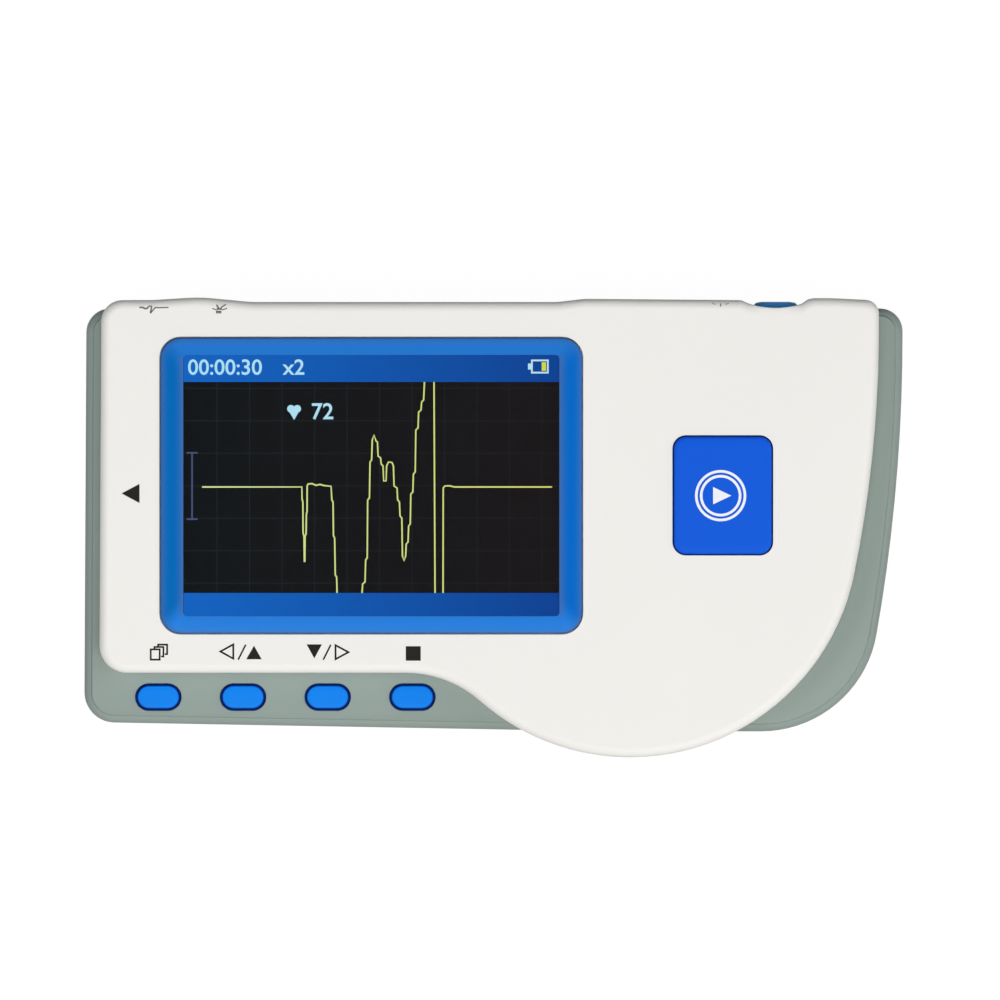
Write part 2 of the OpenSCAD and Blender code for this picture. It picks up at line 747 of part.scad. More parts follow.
module chips(list)
    for (c = list) translate([c[0], c[1]]) block(c[2], c[3], 0.3, board_top, board_top + c[4]);

// Round-headed screw, shaft down, with its head's underside at z
module screw(d, shaft, head, head_h) {
    post(d, -shaft, eps);
    rotate_extrude() polygon([
        [0, 0], [head / 2, 0], [head / 2, head_h * 0.5], [head / 2 - 0.35, head_h], [0, head_h]
    ]);
}

module board_screws() color(steel) {
    for (p = board_posts) translate([p[0], p[1], board_top])
        screw(board_screw_d, board_t + 4, board_head_d, board_head_t);
    for (x = key_posts) translate([x, key_board_y, key_board_top])
        screw(board_screw_d, key_board_t + 4, board_head_d, board_head_t);
}

module case_screws() color(steel)
    for (p = case_posts) translate([p[0], p[1], head_z]) mirror([0, 0, 1]) screw(screw_d, 12, head_d, head_t);

module key_board() color(board_green)
    translate([0, 0, key_board_z]) linear_extrude(key_board_t) difference() {
        translate([key_posts[0] - 2.2, key_board_y - key_board_w / 2])
            square([key_posts[1] - key_posts[0] + 4.4, key_board_w]);
        for (x = key_posts) translate([x, key_board_y]) circle(d = board_screw_d + 0.2);
    }

module key_switches() color(steel)
    for (x = key_x) translate([x, key_y]) {
        block(4.2, 3.4, 0.3, key_board_top, key_board_top + switch_h);
        post(plunger_d, key_board_top, plunger_top);
    }

// Flat cable between the two boards
module key_cable() color("#c87828") {
    t = cable_t;
    y0 = key_board_y + key_board_w / 2;
    y1 = shelf_edge + front_wall + board_gap;
    translate([key_x[1] + 2.5, 0, 0]) rotate([90, 0, 90]) linear_extrude(key_cable_w) polygon([
        [y0 - 2, key_board_top], [y0 + 0.3, key_board_top], [y1 - 0.9, board_top],
        [y1 + 3, board_top], [y1 + 3, board_top + t], [y1 - 1, board_top + t],
        [y0 + 0.2, key_board_top + t], [y0 - 2, key_board_top + t]
    ]);
}

// Menu key: crowned cap through the shelf, with a flange under it
module shelf_key(x) color(key_blue)
    translate([x, key_y]) {
        bar = key_l / 2 - key_w / 2;
        loft([[-bar, 0, key_w / 2], [bar, 0, key_w / 2]], concat(
            [[under_shelf - 0.3, 0]], round_up(shelf_h + key_proud - 0.1, 0.45, 0.4, 4),
            [[shelf_h + key_proud, 1]]));
        block(key_l + 2 * key_flange[0], key_w + 2 * key_flange[1], key_w / 2, key_flange_z, under_shelf - 0.1);
        post(plunger_d + 0.4, key_flange_z, under_shelf);
    }

module menu_key() shelf_key(key_x[0]);
module left_up_key() shelf_key(key_x[1]);
module down_right_key() shelf_key(key_x[2]);
module stop_key() shelf_key(key_x[3]);

// Start button: hollow cap with a flange, cross ribs and a stem that reaches the switch
module start_button() color(start_blue)
    translate([start_x, start_y]) {
        difference() {
            union() {
                loft(rounded(start_l, start_w, start_r), concat(
                    [[start_flange_z + 0.3, 0]], round_up(body_h - 0.05, 0.5, 0.45, 4), [[body_h, 1.3]]));
                block(start_l + 1.6, start_w + 1.6, start_r + 0.5,
                      start_flange_z, start_flange_z + start_flange_t);
            }
            block(start_l - 3, start_w - 3, 1, start_flange_z - 1, under_face + 0.4);
        }
        post(4.4, start_stem_end, under_face + 1);
        for (a = [0, 90]) rotate(a)
            translate([-start_w / 2 + 2, -0.5, start_flange_z])
                cube([start_w - 4, 1, under_face + 1 - start_flange_z]);
    }

module start_switch() color(black)
    translate([start_x, start_y]) {
        block(6, 6, 0.4, board_top, board_top + 2.6);
        post(3, board_top + 1, start_stem_end - start_travel - 0.05);
    }

// Power button: a crowned bar that slides through the scoop's wall
module power_button() color(key_blue)
    translate([power_x, power_flange_y, power_z]) rotate([-90, 0, 0]) {
        reach = power_tip - power_flange_y;
        loft(rounded(power_l, power_w, power_w / 2.6), concat(
            [[0.3, 0]], round_up(reach - 0.1, 0.9, 0.7, 4), [[reach, 1.3]]));
        block(power_l + 1.4, power_w + 1, 1.6, 0, power_flange_t);
    }

module power_switch() color(black)
    translate([power_x, 0, 0]) {
        y_tip = power_flange_y - power_travel - 0.05;
        span([-3, y_tip - 4.4, board_top], [3, y_tip - 0.8, board_top + 3.5]);
        translate([0, y_tip - 1, power_z - 0.2]) rotate([-90, 0, 0]) cylinder(d = 2, h = 1);
    }

// Lead socket: a metal shell round a tongue with contacts
module lead_socket() color(steel)
    translate([socket_x, top - socket_in, board_top + socket_w / 2]) rotate([90, 0, 0]) {
        depth = top - socket_in - (bezel_y + lcd_w / 2) - 0.3;
        difference() {
            block(socket_l, socket_w, 0.9, 0, depth);
            block(socket_l - 0.8, socket_w - 0.8, 0.6, -1, depth - 1.2);
        }
        block(socket_l - 2.4, 0.8, 0.3, 0.8, depth - 0.6);
    }

module buzzer() color(black)
    translate([buzzer_x, buzzer_y]) difference() {
        post(buzzer_d, board_z - buzzer_t, board_z);
        post(2, board_z - buzzer_t - 1, board_z - buzzer_t + 1.2);
    }

// Electrode on the left end, for the chest or the left palm
module chest_electrode() color(steel)
    translate([left + 0.2, chest_y, chest_z]) rotate([0, 90, 0]) {
        loft(rounded(chest_w, chest_l, chest_w / 2 - 0.01), [[0, 0.35], [0.15, 0.1], [0.35, 0], [plate_t, 0]]);
        post(pin_d - 0.2, plate_t - eps, rear_wall + 0.3);
    }

// Electrode on the back for the right palm
module palm_electrode() color(steel)
    translate([palm_x, palm_y]) {
        loft(rounded(palm_l, palm_w, 2.9), [[door_z, 0.5], [door_z + 0.15, 0.15], [door_z + 0.4, 0],
                                            [door_z + plate_t, 0]]);
        post(pin_d - 0.2, door_z + plate_t - eps, rear_floor + 0.3);
    }

// Dished electrode for the finger, with a flat rim
module finger_electrode() color(steel)
    translate([finger_x, finger_y]) {
        outside = dish_arc(plate_t, 0.15);
        inside = dish_arc(0, 0.15);
        rotate_extrude() polygon(concat(outside, [for (i = [len(inside) - 1 : -1 : 0]) inside[i]]));
        post(pin_d - 0.2, dish_depth + plate_t / 2, dish_depth + 2.7);
    }

// Spring pins that reach from the board to the electrodes' studs
module electrode_pins() color("#c8a850") {
    for (p = [[palm_x, palm_y, rear_floor + 0.3], [finger_x, finger_y, dish_depth + 2.7]])
        translate([p[0], p[1]]) {
            post(1.2, p[2], p[2] + 2.5);
            post(2, p[2] + 2, board_z);
        }
    translate([left + 0.2 + rear_wall + 0.3, chest_y, chest_z]) {
        rotate([0, 90, 0]) post(1.2, 0, 2.4);
        translate([3, 0, 0]) span([-1, -1, -1], [1, 1, board_z - chest_z]);
    }
}

// Sliding battery door, which carries on the shape of the housing's left end
module battery_door() color(grey)
    difference() {
        intersection() {
            grey_form();
            union() {
                span([left - 1, bay_y - door_w / 2 + fit, door_z],
                     [door_right - fit, bay_y + door_w / 2 - fit, door_z + door_panel + tongue_t]);
                span([left - 1, bay_y - door_w / 2 - tongue_w, door_z + door_panel],
                     [door_right - fit, bay_y + door_w / 2 + tongue_w, door_z + door_panel + tongue_t]);
            }
        }
        for (i = [0 : 4]) translate([door_right - 8 - 1.8 * i, bay_y, 0])
            block(0.9, 12, 0.44, -1, door_z + 0.45);
    }

// Battery along +X with its button end at the origin side
module cell() rotate([0, 90, 0]) rotate_extrude() polygon([
    [0, 0], [1.9, 0], [1.9, 0.8], [cell_d / 2 - 0.5, 0.8], [cell_d / 2, 1.3],
    [cell_d / 2, cell_l - 0.4], [cell_d / 2 - 0.4, cell_l], [0, cell_l]
]);

module upper_battery() color("#3a6ea8")
    translate([bay_left + contact_t + 0.1, bay_y + cell_offset, cell_z]) cell();

module lower_battery() color("#3a6ea8")
    translate([bay_left + bay_l - contact_t - 0.1, bay_y - cell_offset, cell_z]) mirror([1, 0, 0]) cell();

// Centre line of a contact spring, wide at its foot and narrow at its tip
spring_foot_r = 3.9;
spring_tip_r = 2.2;
spring_steps = 10;
spring_rise = spring_l - contact_t - spring_wire;
spring_path = [for (k = [0 : spring_turns * spring_steps])
    let (t = k / (spring_turns * spring_steps), a = 360 * k / spring_steps,
         r = spring_foot_r + (spring_tip_r - spring_foot_r) * t)
        [r * cos(a), r * sin(a), contact_t + spring_wire / 2 - 0.12 + spring_rise * t]];
spring_clear = min([for (i = [0 : len(spring_path) - 1 - spring_steps * 0.7],
                         j = [i + spring_steps * 0.7 : len(spring_path) - 1])
    norm(spring_path[i] - spring_path[j])]) - spring_wire;
echo("least gap between the turns of a contact spring, mm", spring_clear);

// Round wire swept along a path
module wire(path, d) {
    sides = 6;
    n = len(path);
    rings = [for (i = [0 : n - 1])
        let (ahead = path[min(i + 1, n - 1)] - path[max(i - 1, 0)], t = ahead / norm(ahead),
             out = cross(t, [0, 0, 1]), u = out / norm(out), v = cross(t, u))
            for (s = [0 : sides - 1]) path[i] + d / 2 * (cos(60 * s) * u + sin(60 * s) * v)];
    polyhedron(points = rings, faces = [
        [for (s = [0 : sides - 1]) s],
        [for (s = [sides - 1 : -1 : 0]) (n - 1) * sides + s],
        for (i = [0 : n - 2], s = [0 : sides - 1])
            let (a = i * sides + s, b = i * sides + (s + 1) % sides)
                each [[a, b + sides, b], [a, a + sides, b + sides]]
    ]);
}

// Contact spring on its plate, standing along +X
module contact_spring() rotate([0, 90, 0]) {
    block(cell_d - 2, cell_d - 1.4, 1, 0, contact_t);
    wire(spring_path, spring_wire);
}

module battery_springs() color(steel) {
    translate([bay_left, bay_y - cell_offset, cell_z]) contact_spring();
    translate([bay_left + bay_l, bay_y + cell_offset, cell_z]) mirror([1, 0, 0]) contact_spring();
}

module battery_plates() color(steel) {
    translate([bay_left, bay_y + cell_offset, cell_z]) rotate([0, 90, 0])
        block(cell_d - 2, cell_d - 1.4, 1, 0, contact_t);
    translate([bay_left + bay_l, bay_y - cell_offset, cell_z]) mirror([1, 0, 0]) rotate([0, 90, 0])
        block(cell_d - 2, cell_d - 1.4, 1, 0, contact_t);
}

front_shell();
rear_shell();
screen_bezel();
screen_window();
screen_gasket();
lcd_glass();
lcd_tray();
display_cable();
main_board();
board_chips();
board_screws();
key_board();
key_switches();
key_cable();
menu_key();
left_up_key();
down_right_key();
stop_key();
start_button();
start_switch();
power_button();
power_switch();
lead_socket();
buzzer();
chest_electrode();
palm_electrode();
finger_electrode();
electrode_pins();
battery_door();
upper_battery();
lower_battery();
battery_springs();
battery_plates();
case_screws();
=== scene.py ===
"""Looks of the hand-held ECG home monitor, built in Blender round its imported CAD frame."""

import json
import logging
import math
from collections.abc import Callable, Iterator
from contextlib import contextmanager
from dataclasses import dataclass, field
from enum import Enum
from functools import cache

import bpy
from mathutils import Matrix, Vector

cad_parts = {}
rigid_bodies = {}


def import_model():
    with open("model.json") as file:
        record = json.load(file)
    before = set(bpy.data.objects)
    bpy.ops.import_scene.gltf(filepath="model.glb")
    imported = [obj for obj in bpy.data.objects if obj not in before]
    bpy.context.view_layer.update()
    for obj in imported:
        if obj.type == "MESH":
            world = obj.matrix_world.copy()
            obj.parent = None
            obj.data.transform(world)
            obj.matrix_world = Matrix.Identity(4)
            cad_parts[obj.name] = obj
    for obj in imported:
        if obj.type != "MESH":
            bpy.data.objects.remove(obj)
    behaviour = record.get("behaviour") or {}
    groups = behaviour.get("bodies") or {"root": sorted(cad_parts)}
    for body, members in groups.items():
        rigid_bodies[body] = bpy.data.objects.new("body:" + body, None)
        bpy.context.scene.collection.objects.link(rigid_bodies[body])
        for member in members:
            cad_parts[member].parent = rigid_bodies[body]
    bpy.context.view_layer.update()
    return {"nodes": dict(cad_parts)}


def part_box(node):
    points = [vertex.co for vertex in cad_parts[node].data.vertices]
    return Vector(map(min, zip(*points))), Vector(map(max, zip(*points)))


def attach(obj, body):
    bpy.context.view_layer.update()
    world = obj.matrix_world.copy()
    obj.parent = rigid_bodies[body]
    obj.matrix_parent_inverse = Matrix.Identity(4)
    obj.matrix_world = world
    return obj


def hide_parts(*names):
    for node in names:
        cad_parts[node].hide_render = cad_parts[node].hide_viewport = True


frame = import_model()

log = logging.getLogger("monitor")
MM = 0.001
Point = tuple[float, float]
Colour = tuple[float, float, float]
Thing = bpy.types.Object
Tree = bpy.types.NodeTree
Node = bpy.types.Node
Socket = bpy.types.NodeSocket
WHITE = (1.0, 1.0, 1.0)


def linear(red: int, green: int, blue: int) -> Colour:
    """Turn a screen colour into the linear colour that a shader takes.

    Args:
        red: Red from 0 to 255.
        green: Green from 0 to 255.
        blue: Blue from 0 to 255.

    Returns:
        The three linear parts, each from 0 to 1.
    """
    parts = (c / 255 for c in (red, green, blue))
    return tuple(c / 12.92 if c <= 0.04045 else ((c + 0.055) / 1.055) ** 2.4 for c in parts)


class Axis(Enum):
    """Direction along which a metal is brushed."""

    X = (4.0, 90.0, 90.0)
    Y = (90.0, 4.0, 90.0)


class Symbol(Enum):
    """Corner count of the plain shapes that the printed symbols are made of."""

    TRIANGLE = 3
    SQUARE = 4
    DISC = 48


# ---------------------------------------------------------------- shader nodes


def feed(node: Node, values: dict[str | int, object]) -> Node:
    """Set or link inputs of a node.

    Args:
        node: The node.
        values: Plain value, colour or wired socket for each input.

    Returns:
        The same node.
    """
    for label, value in values.items():
        socket = node.inputs[label]
        if isinstance(value, Socket):
            node.id_data.links.new(value, socket)
        else:
            socket.default_value = (*value, 1) if socket.type == "RGBA" else value
    return node


def add(tree: Tree, kind: str, values: dict[str | int, object] | None = None, **settings: object) -> Node:
    """Add a shader node.

    Args:
        tree: The node tree.
        kind: The node's kind, without the words that all kinds start with.
        values: Its inputs, as feed takes them.
        **settings: Its own settings, made before its inputs.

    Returns:
        The new node.
    """
    node = tree.nodes.new(f"ShaderNode{kind}")
    for label, value in settings.items():
        setattr(node, label, value)
    return feed(node, values or {})


def add_math(tree: Tree, kind: str, *values: Socket | float) -> Socket:
    """Add a math node on wired or plain values."""
    return add(tree, "Math", dict(enumerate(values)), operation=kind).outputs[0]


def add_mix(tree: Tree, factor: Socket, low: Socket | Colour, high: Socket | Colour, kind: str = "MIX") -> Socket:
    """Mix two wired or plain colours by a mask.

    Args:
        tree: The node tree.
        factor: The mask.
        low: Colour where the mask is 0.
        high: Colour where the mask is 1.
        kind: Way of mixing.

    Returns:
        The colour socket.
    """
    return add(tree, "Mix", {"Factor": factor, "A": low, "B": high}, data_type="RGBA",
               blend_type=kind).outputs["Result"]


def add_range(tree: Tree, value: Socket, to: Point = (0.0, 1.0), given: tuple[object, object] = (0.0, 1.0),
              kind: str = "LINEAR") -> Socket:
    """Map a value from one span onto another.

    Args:
        tree: The node tree.
        value: The value.
        to: Start and end of the result.
        given: Start and end of the value, plain or wired.
        kind: Way of mapping.

    Returns:
        The result socket.
    """
    ends = {"From Min": given[0], "From Max": given[1], "To Min": to[0], "To Max": to[1]}
    return add(tree, "MapRange", {"Value": value, **ends}, interpolation_type=kind).outputs["Result"]


def add_bump(tree: Tree, height: Socket, strength: float, depth_mm: float) -> Socket:
    """Turn a height into a normal."""
    return add(tree, "Bump", {"Height": height, "Strength": strength, "Distance": depth_mm * MM}).outputs["Normal"]


def add_parts(tree: Tree, kind: str = "Object") -> bpy.types.NodeOutputs:
    """Split a texture coordinate into X, Y and Z."""
    return add(tree, "SeparateXYZ", {0: add(tree, "TexCoord").outputs[kind]}).outputs


# ---------------------------------------------------------------- shared shader groups


@dataclass(frozen=True)
class ShaderGroups:
    """Node groups that several finishes share, each made once."""

    grain_name: str = "moulded_grain"
    brushed_name: str = "brushed_lines"
    pixel_name: str = "display_dots"
    bar_name: str = "frame_bars"
    rub_span: Point = (0.35, 0.75)
    broad_scale: float = 9.0
    dot_gap: float = 0.16
    mitre_span: Point = (-3.0 * MM, 2.0 * MM)
    highlight_fall: float = 2.5

    def _start(self, name: str, inputs: dict[str, float | None],
               outputs: list[str]) -> tuple[Tree, bpy.types.NodeOutputs, Node]:
        """Make an empty group.

        Args:
            name: Name of the group.
            inputs: Name and default of each input, None for a vector.
            outputs: Names of the outputs.

        Returns:
            The group's tree, the sockets of its inputs and its output node.
        """
        tree = bpy.data.node_groups.new(name, "ShaderNodeTree")
        for label, value in inputs.items():
            if value is None:
                tree.interface.new_socket(label, in_out="INPUT", socket_type="NodeSocketVector")
            else:
                tree.interface.new_socket(label, in_out="INPUT", socket_type="NodeSocketFloat").default_value = value
        for label in outputs:
            tree.interface.new_socket(label, in_out="OUTPUT", socket_type="NodeSocketFloat")
        return tree, tree.nodes.new("NodeGroupInput").outputs, tree.nodes.new("NodeGroupOutput")

    @cache
    def grain(self) -> Tree:
        """Fine moulded grain with slow cloudy changes and handling marks."""
        tree, given, out = self._start(self.grain_name, {"Grain": 3500.0, "Cloud": 40.0, "Marks": 900.0},
                                       ["Height", "Tone", "Rub"])
        place = add(tree, "TexCoord").outputs["Object"]
        noise = {label: add(tree, "TexNoise", {"Vector": place, "Scale": given[label], "Detail": detail,
                                               "Distortion": bend}).outputs["Fac"]
                 for label, detail, bend in (("Grain", 2.0, 0.0), ("Cloud", 4.0, 0.0), ("Marks", 6.0, 1.2))}
        feed(out, {"Height": noise["Grain"], "Tone": noise["Cloud"],
                   "Rub": add_range(tree, noise["Marks"], given=self.rub_span)})
        return tree

    @cache
    def brushed(self) -> Tree:
        """Long fine lines of a brushed or drawn metal, on a mapped vector."""
        tree, given, out = self._start(self.brushed_name, {"Fineness": 60.0, "Place": None}, ["Height", "Tone"])
        place = given["Place"]
        lines = add(tree, "TexNoise", {"Vector": place, "Scale": given["Fineness"], "Detail": 3.0}).outputs["Fac"]
        broad = add(tree, "TexNoise", {"Vector": place, "Scale": self.broad_scale}).outputs["Fac"]
        feed(out, {"Height": lines, "Tone": add_math(tree, "MULTIPLY", lines, broad)})
        return tree

    @cache
    def pixels(self) -> Tree:
        """Rows of display dots with their dark gaps, and the light's fall across the panel."""
        tree, given, out = self._start(self.pixel_name, {"Pitch": 5200.0, "From X": -0.05, "To X": 0.011},
                                       ["Dots", "Across"])
        place = add_parts(tree)
        dots = []
        for axis in "XY":
            part = add_math(tree, "FRACT", add_math(tree, "MULTIPLY", place[axis], given["Pitch"]))
            dots.append(add_math(tree, "GREATER_THAN", part, self.dot_gap))
        feed(out, {"Dots": add_math(tree, "MULTIPLY", *dots),
                   "Across": add_range(tree, place["X"], given=(given["From X"], given["To X"]))})
        return tree

    @cache
    def bars(self) -> Tree:
        """Masks of a level rectangular frame for its painted light and shade: painted edge highlights, top and foot
        bars, the foot alone, left to right.
        """
        tree, given, out = self._start(self.bar_name, {"Centre X": 0.0, "Centre Y": 0.0, "Half X": 0.03,
                                                       "Half Y": 0.02, "Bar": 0.0036, "Radius": 0.0033},
                                       ["Painted Highlight", "Level", "Foot", "Across"])
        place = add_parts(tree)
        off, beyond, outer = {}, {}, {}
        for axis in "XY":
            off[axis] = add_math(tree, "SUBTRACT", place[axis], given[f"Centre {axis}"])
            corner = add_math(tree, "SUBTRACT", given[f"Half {axis}"], given["Radius"])
            beyond[axis] = add_math(tree, "SUBTRACT", add_math(tree, "ABSOLUTE", off[axis]), corner)
            outer[axis] = add_math(tree, "POWER", add_math(tree, "MAXIMUM", beyond[axis], 0.0), 2.0)
        round_part = add_math(tree, "SQRT", add_math(tree, "ADD", outer["X"], outer["Y"]))
        flat_part = add_math(tree, "MINIMUM", add_math(tree, "MAXIMUM", beyond["X"], beyond["Y"]), 0.0)
        inside = add_math(tree, "SUBTRACT", add_math(tree, "ADD", round_part, flat_part), given["Radius"])
        depth = add_math(tree, "DIVIDE", inside, given["Bar"])
        middle = add_math(tree, "ABSOLUTE", add_math(tree, "MULTIPLY_ADD", depth, 2.0, 1.0))
        lead = add_math(tree, "SUBTRACT", beyond["Y"], beyond["X"])
        share = add_math(tree, "DIVIDE", off["X"], given["Half X"])
        # The edge mask marks where the painted highlight goes.
        feed(out, {"Painted Highlight": add_math(tree, "POWER", middle, self.highlight_fall),
                   "Level": add_range(tree, lead, given=self.mitre_span, kind="SMOOTHSTEP"),
                   "Foot": add_math(tree, "LESS_THAN", off["Y"], 0.0),
                   "Across": add_math(tree, "MULTIPLY_ADD", share, 0.5, 0.5)})
        return tree


GROUPS = ShaderGroups()


# ---------------------------------------------------------------- finishes


class Finish:
    """A finish that makes its Blender material once and hands it out."""

    name: str

    def material(self) -> bpy.types.Material:
        """Return the finish's material, making it at the first call."""
        if self.name in bpy.data.materials:
            return bpy.data.materials[self.name]
        made = bpy.data.materials.new(self.name)
        made.use_nodes = True
        self.wire(made.node_tree, made.node_tree.nodes["Principled BSDF"])
        return made

    def wire(self, tree: Tree, shader: Node) -> None:
        """Add the finish's own nodes.

        Args:
            tree: The material's node tree.
            shader: Its Principled shader.
        """
        raise NotImplementedError


@dataclass(frozen=True)
class Plastic(Finish):
    """Moulded plastic or rubber with a fine grain."""

    name: str
    colour: Colour
    shade: Colour
    rough: Point = (0.38, 0.5)
    grain: float = 3500.0
    cloud: float = 40.0
    bump: float = 0.35
    depth_mm: float = 0.012
    coat: float = 0.0
    coat_rough: float = 0.1
    specular: float = 0.5
    # rim is painted shade, mixed in where the normal leans away from up.
    rim: Colour | None = None
    rim_shade_lean: Point = (0.97, 0.8)

    def wire(self, tree: Tree, shader: Node) -> None:
        """Wire tone, roughness and grain, and the painted shade on the rounded rim and sides."""
        grain = add(tree, "Group", {"Grain": self.grain, "Cloud": self.cloud}, node_tree=GROUPS.grain()).outputs
        tone = add_mix(tree, grain["Tone"], self.shade, self.colour)
        # Painted shade: the rim colour darkens faces that lean away from up.
        if self.rim:
            lean = add_range(tree, add_parts(tree, "Normal")["Z"], given=self.rim_shade_lean)
            tone = add_mix(tree, lean, tone, self.rim)
        feed(shader, {"Base Color": tone, "Roughness": add_range(tree, grain["Rub"], self.rough),
                      "Normal": add_bump(tree, grain["Height"], self.bump, self.depth_mm),
                      "Coat Weight": self.coat, "Coat Roughness": self.coat_rough,
                      "Specular IOR Level": self.specular})


@dataclass(frozen=True)
class Metal(Finish):
    """Brushed, plated or drawn metal."""

    name: str
    colour: Colour
    shade: Colour
    brushed: Axis = Axis.X
    rough: Point = (0.2, 0.42)
    fineness: float = 60.0
    bump: float = 0.25
    depth_mm: float = 0.004

    def wire(self, tree: Tree, shader: Node) -> None:
        """Wire brushed lines into colour, roughness and normal."""
        place = add(tree, "TexCoord").outputs["Object"]
        mapped = add(tree, "Mapping", {"Vector": place, "Scale": self.brushed.value}).outputs["Vector"]
        lines = add(tree, "Group", {"Fineness": self.fineness, "Place": mapped}, node_tree=GROUPS.brushed()).outputs
        feed(shader, {"Base Color": add_mix(tree, lines["Tone"], self.shade, self.colour),
                      "Roughness": add_range(tree, lines["Height"], self.rough),
                      "Normal": add_bump(tree, lines["Height"], self.bump, self.depth_mm), "Metallic": 1.0})


@dataclass(frozen=True)
class Glow(Finish):
    """A lit part of the display's picture."""

    name: str
    colour: Colour
    far: Colour
    gap: float = 0.82
    strength: float = 1.0
    unlit: Colour = (0.002, 0.002, 0.003)

    def wire(self, tree: Tree, shader: Node) -> None:
        """Wire the dots and the fall of light across the panel into the emission."""
        dots = add(tree, "Group", node_tree=GROUPS.pixels()).outputs
        lit = add_mix(tree, dots["Across"], self.colour, self.far)
        between = add_math(tree, "SUBTRACT", 1.0, dots["Dots"])
        feed(shader, {"Emission Color": add_mix(tree, between, lit, (self.gap,) * 3, "MULTIPLY"),
                      "Emission Strength": self.strength, "Base Color": self.unlit, "Roughness": 0.5,
                      "Specular IOR Level": 0.0})


@dataclass(frozen=True)
class FramePlastic(Finish):
    """Blue frame of four mitred bars with painted light and shade: paler painted highlights on its edges, and its
    level bars painted brighter.
    """

    name: str
    centre: Point
    half: Point
    # Bar tones are painted light and shade: right lighter than left, top and foot brighter than the sides, foot most;
    # edge is a painted highlight.
    left: Colour = linear(0, 103, 184)
    right: Colour = linear(0, 106, 203)
    top: Colour = linear(28, 114, 202)
    foot: Colour = linear(45, 134, 231)
    edge: Colour = linear(64, 109, 176)
    bar_mm: float = 3.6
    radius_mm: float = 3.3
    rough: Point = (0.3, 0.4)
    bump: float = 0.1
    depth_mm: float = 0.012
    specular: float = 0.03

    def wire(self, tree: Tree, shader: Node) -> None:
        """Wire the bars' painted light and shade by the place on the frame."""
        bars = add(tree, "Group", {
            "Centre X": self.centre[0], "Centre Y": self.centre[1], "Half X": self.half[0], "Half Y": self.half[1],
            "Bar": self.bar_mm * MM, "Radius": self.radius_mm * MM}, node_tree=GROUPS.bars()).outputs
        sides = add_mix(tree, bars["Across"], self.left, self.right)
        level = add_mix(tree, bars["Foot"], self.top, self.foot)
        tone = add_mix(tree, bars["Level"], sides, level)
        grain = add(tree, "Group", node_tree=GROUPS.grain()).outputs
        # The edge mask mixes a painted highlight over the bars' painted light and shade.
        feed(shader, {"Base Color": add_mix(tree, bars["Painted Highlight"], tone, self.edge),
                      "Roughness": add_range(tree, grain["Rub"], self.rough),
                      "Normal": add_bump(tree, grain["Height"], self.bump, self.depth_mm),
                      "Specular IOR Level": self.specular})


@dataclass(frozen=True)
class ClearPane(Finish):
    """Clear hard plastic pane with faint handling marks."""

    name: str
    rough: Point = (0.0, 0.03)
    colour: Colour = (0.97, 0.985, 1.0)

    def wire(self, tree: Tree, shader: Node) -> None:
        """Wire faint marks into the roughness of a clear shader."""
        grain = add(tree, "Group", {"Cloud": 25.0, "Marks": 300.0}, node_tree=GROUPS.grain()).outputs
        feed(shader, {"Roughness": add_range(tree, grain["Rub"], self.rough), "Base Color": self.colour,
                      "Transmission Weight": 1.0, "IOR": 1.46})


WHITE_SHELL = Plastic("white_shell_plastic", linear(240, 239, 236), linear(237, 236, 233), (0.42, 0.52),
                      cloud=30.0, specular=0.15)
GREY_SHELL = Plastic("grey_shell_plastic", linear(146, 160, 155), linear(142, 156, 151), (0.4, 0.52),
                     cloud=30.0, specular=0.15)
# The keys' rim colour is painted shade on their bevelled sides.
KEY_BLUE = Plastic("menu_key_rubber", linear(14, 130, 236), linear(10, 126, 232), (0.4, 0.5), bump=0.3, specular=0.07,
                   rim=linear(0, 36, 140))
START_BLUE = Plastic("start_button_plastic", linear(15, 93, 223), linear(11, 89, 218), (0.4, 0.5), bump=0.25,
                     specular=0.07)
# The power button's blue is painted lighter than its own, painted light where the shell's scoop shades it.
POWER_BLUE = Plastic("power_button_plastic", linear(72, 172, 255), linear(64, 164, 252), (0.36, 0.46), specular=0.2)
BLACK_INK = Plastic("black_print", linear(18, 18, 15), linear(26, 26, 22), (0.45, 0.55), bump=0.2, depth_mm=0.004,
                    specular=0.15)
GREY_INK = Plastic("grey_print", linear(104, 104, 102), linear(120, 120, 117), (0.4, 0.5), bump=0.2, depth_mm=0.004)
DARK_MARK = Plastic("door_mark", linear(84, 94, 94), linear(76, 86, 86), (0.45, 0.55), bump=0.2)
WHITE_INK = Plastic("white_print", linear(244, 247, 252), linear(232, 237, 246), (0.4, 0.5), bump=0.2, depth_mm=0.004)
BLACK_FOAM = Plastic("black_foam", linear(26, 27, 29), linear(16, 17, 18), (0.85, 0.95), grain=5200.0, bump=0.9)
BLACK_PART = Plastic("black_component", linear(38, 39, 42), linear(26, 27, 29), (0.45, 0.6), grain=6000.0)
TRAY_WHITE = Plastic("display_tray_plastic", linear(226, 228, 228), linear(212, 214, 214), (0.35, 0.5))
PANEL_BLACK = Plastic("display_glass", linear(14, 17, 20), linear(10, 12, 15), (0.06, 0.14), bump=0.02, coat=0.3)
CABLE_AMBER = Plastic("flat_cable_film", linear(206, 128, 44), linear(178, 98, 30), (0.25, 0.4), cloud=500.0)
SOLDER_MASK = Plastic("board_solder_mask", linear(30, 108, 62), linear(20, 84, 48), (0.3, 0.45), cloud=420.0)
CELL_SLEEVE = Plastic("battery_sleeve", linear(40, 92, 150), linear(34, 82, 138), (0.18, 0.28), bump=0.1, coat=0.4)
CELL_BAND = Plastic("battery_band", linear(228, 230, 232), linear(214, 217, 220), (0.2, 0.32), bump=0.1, coat=0.4)
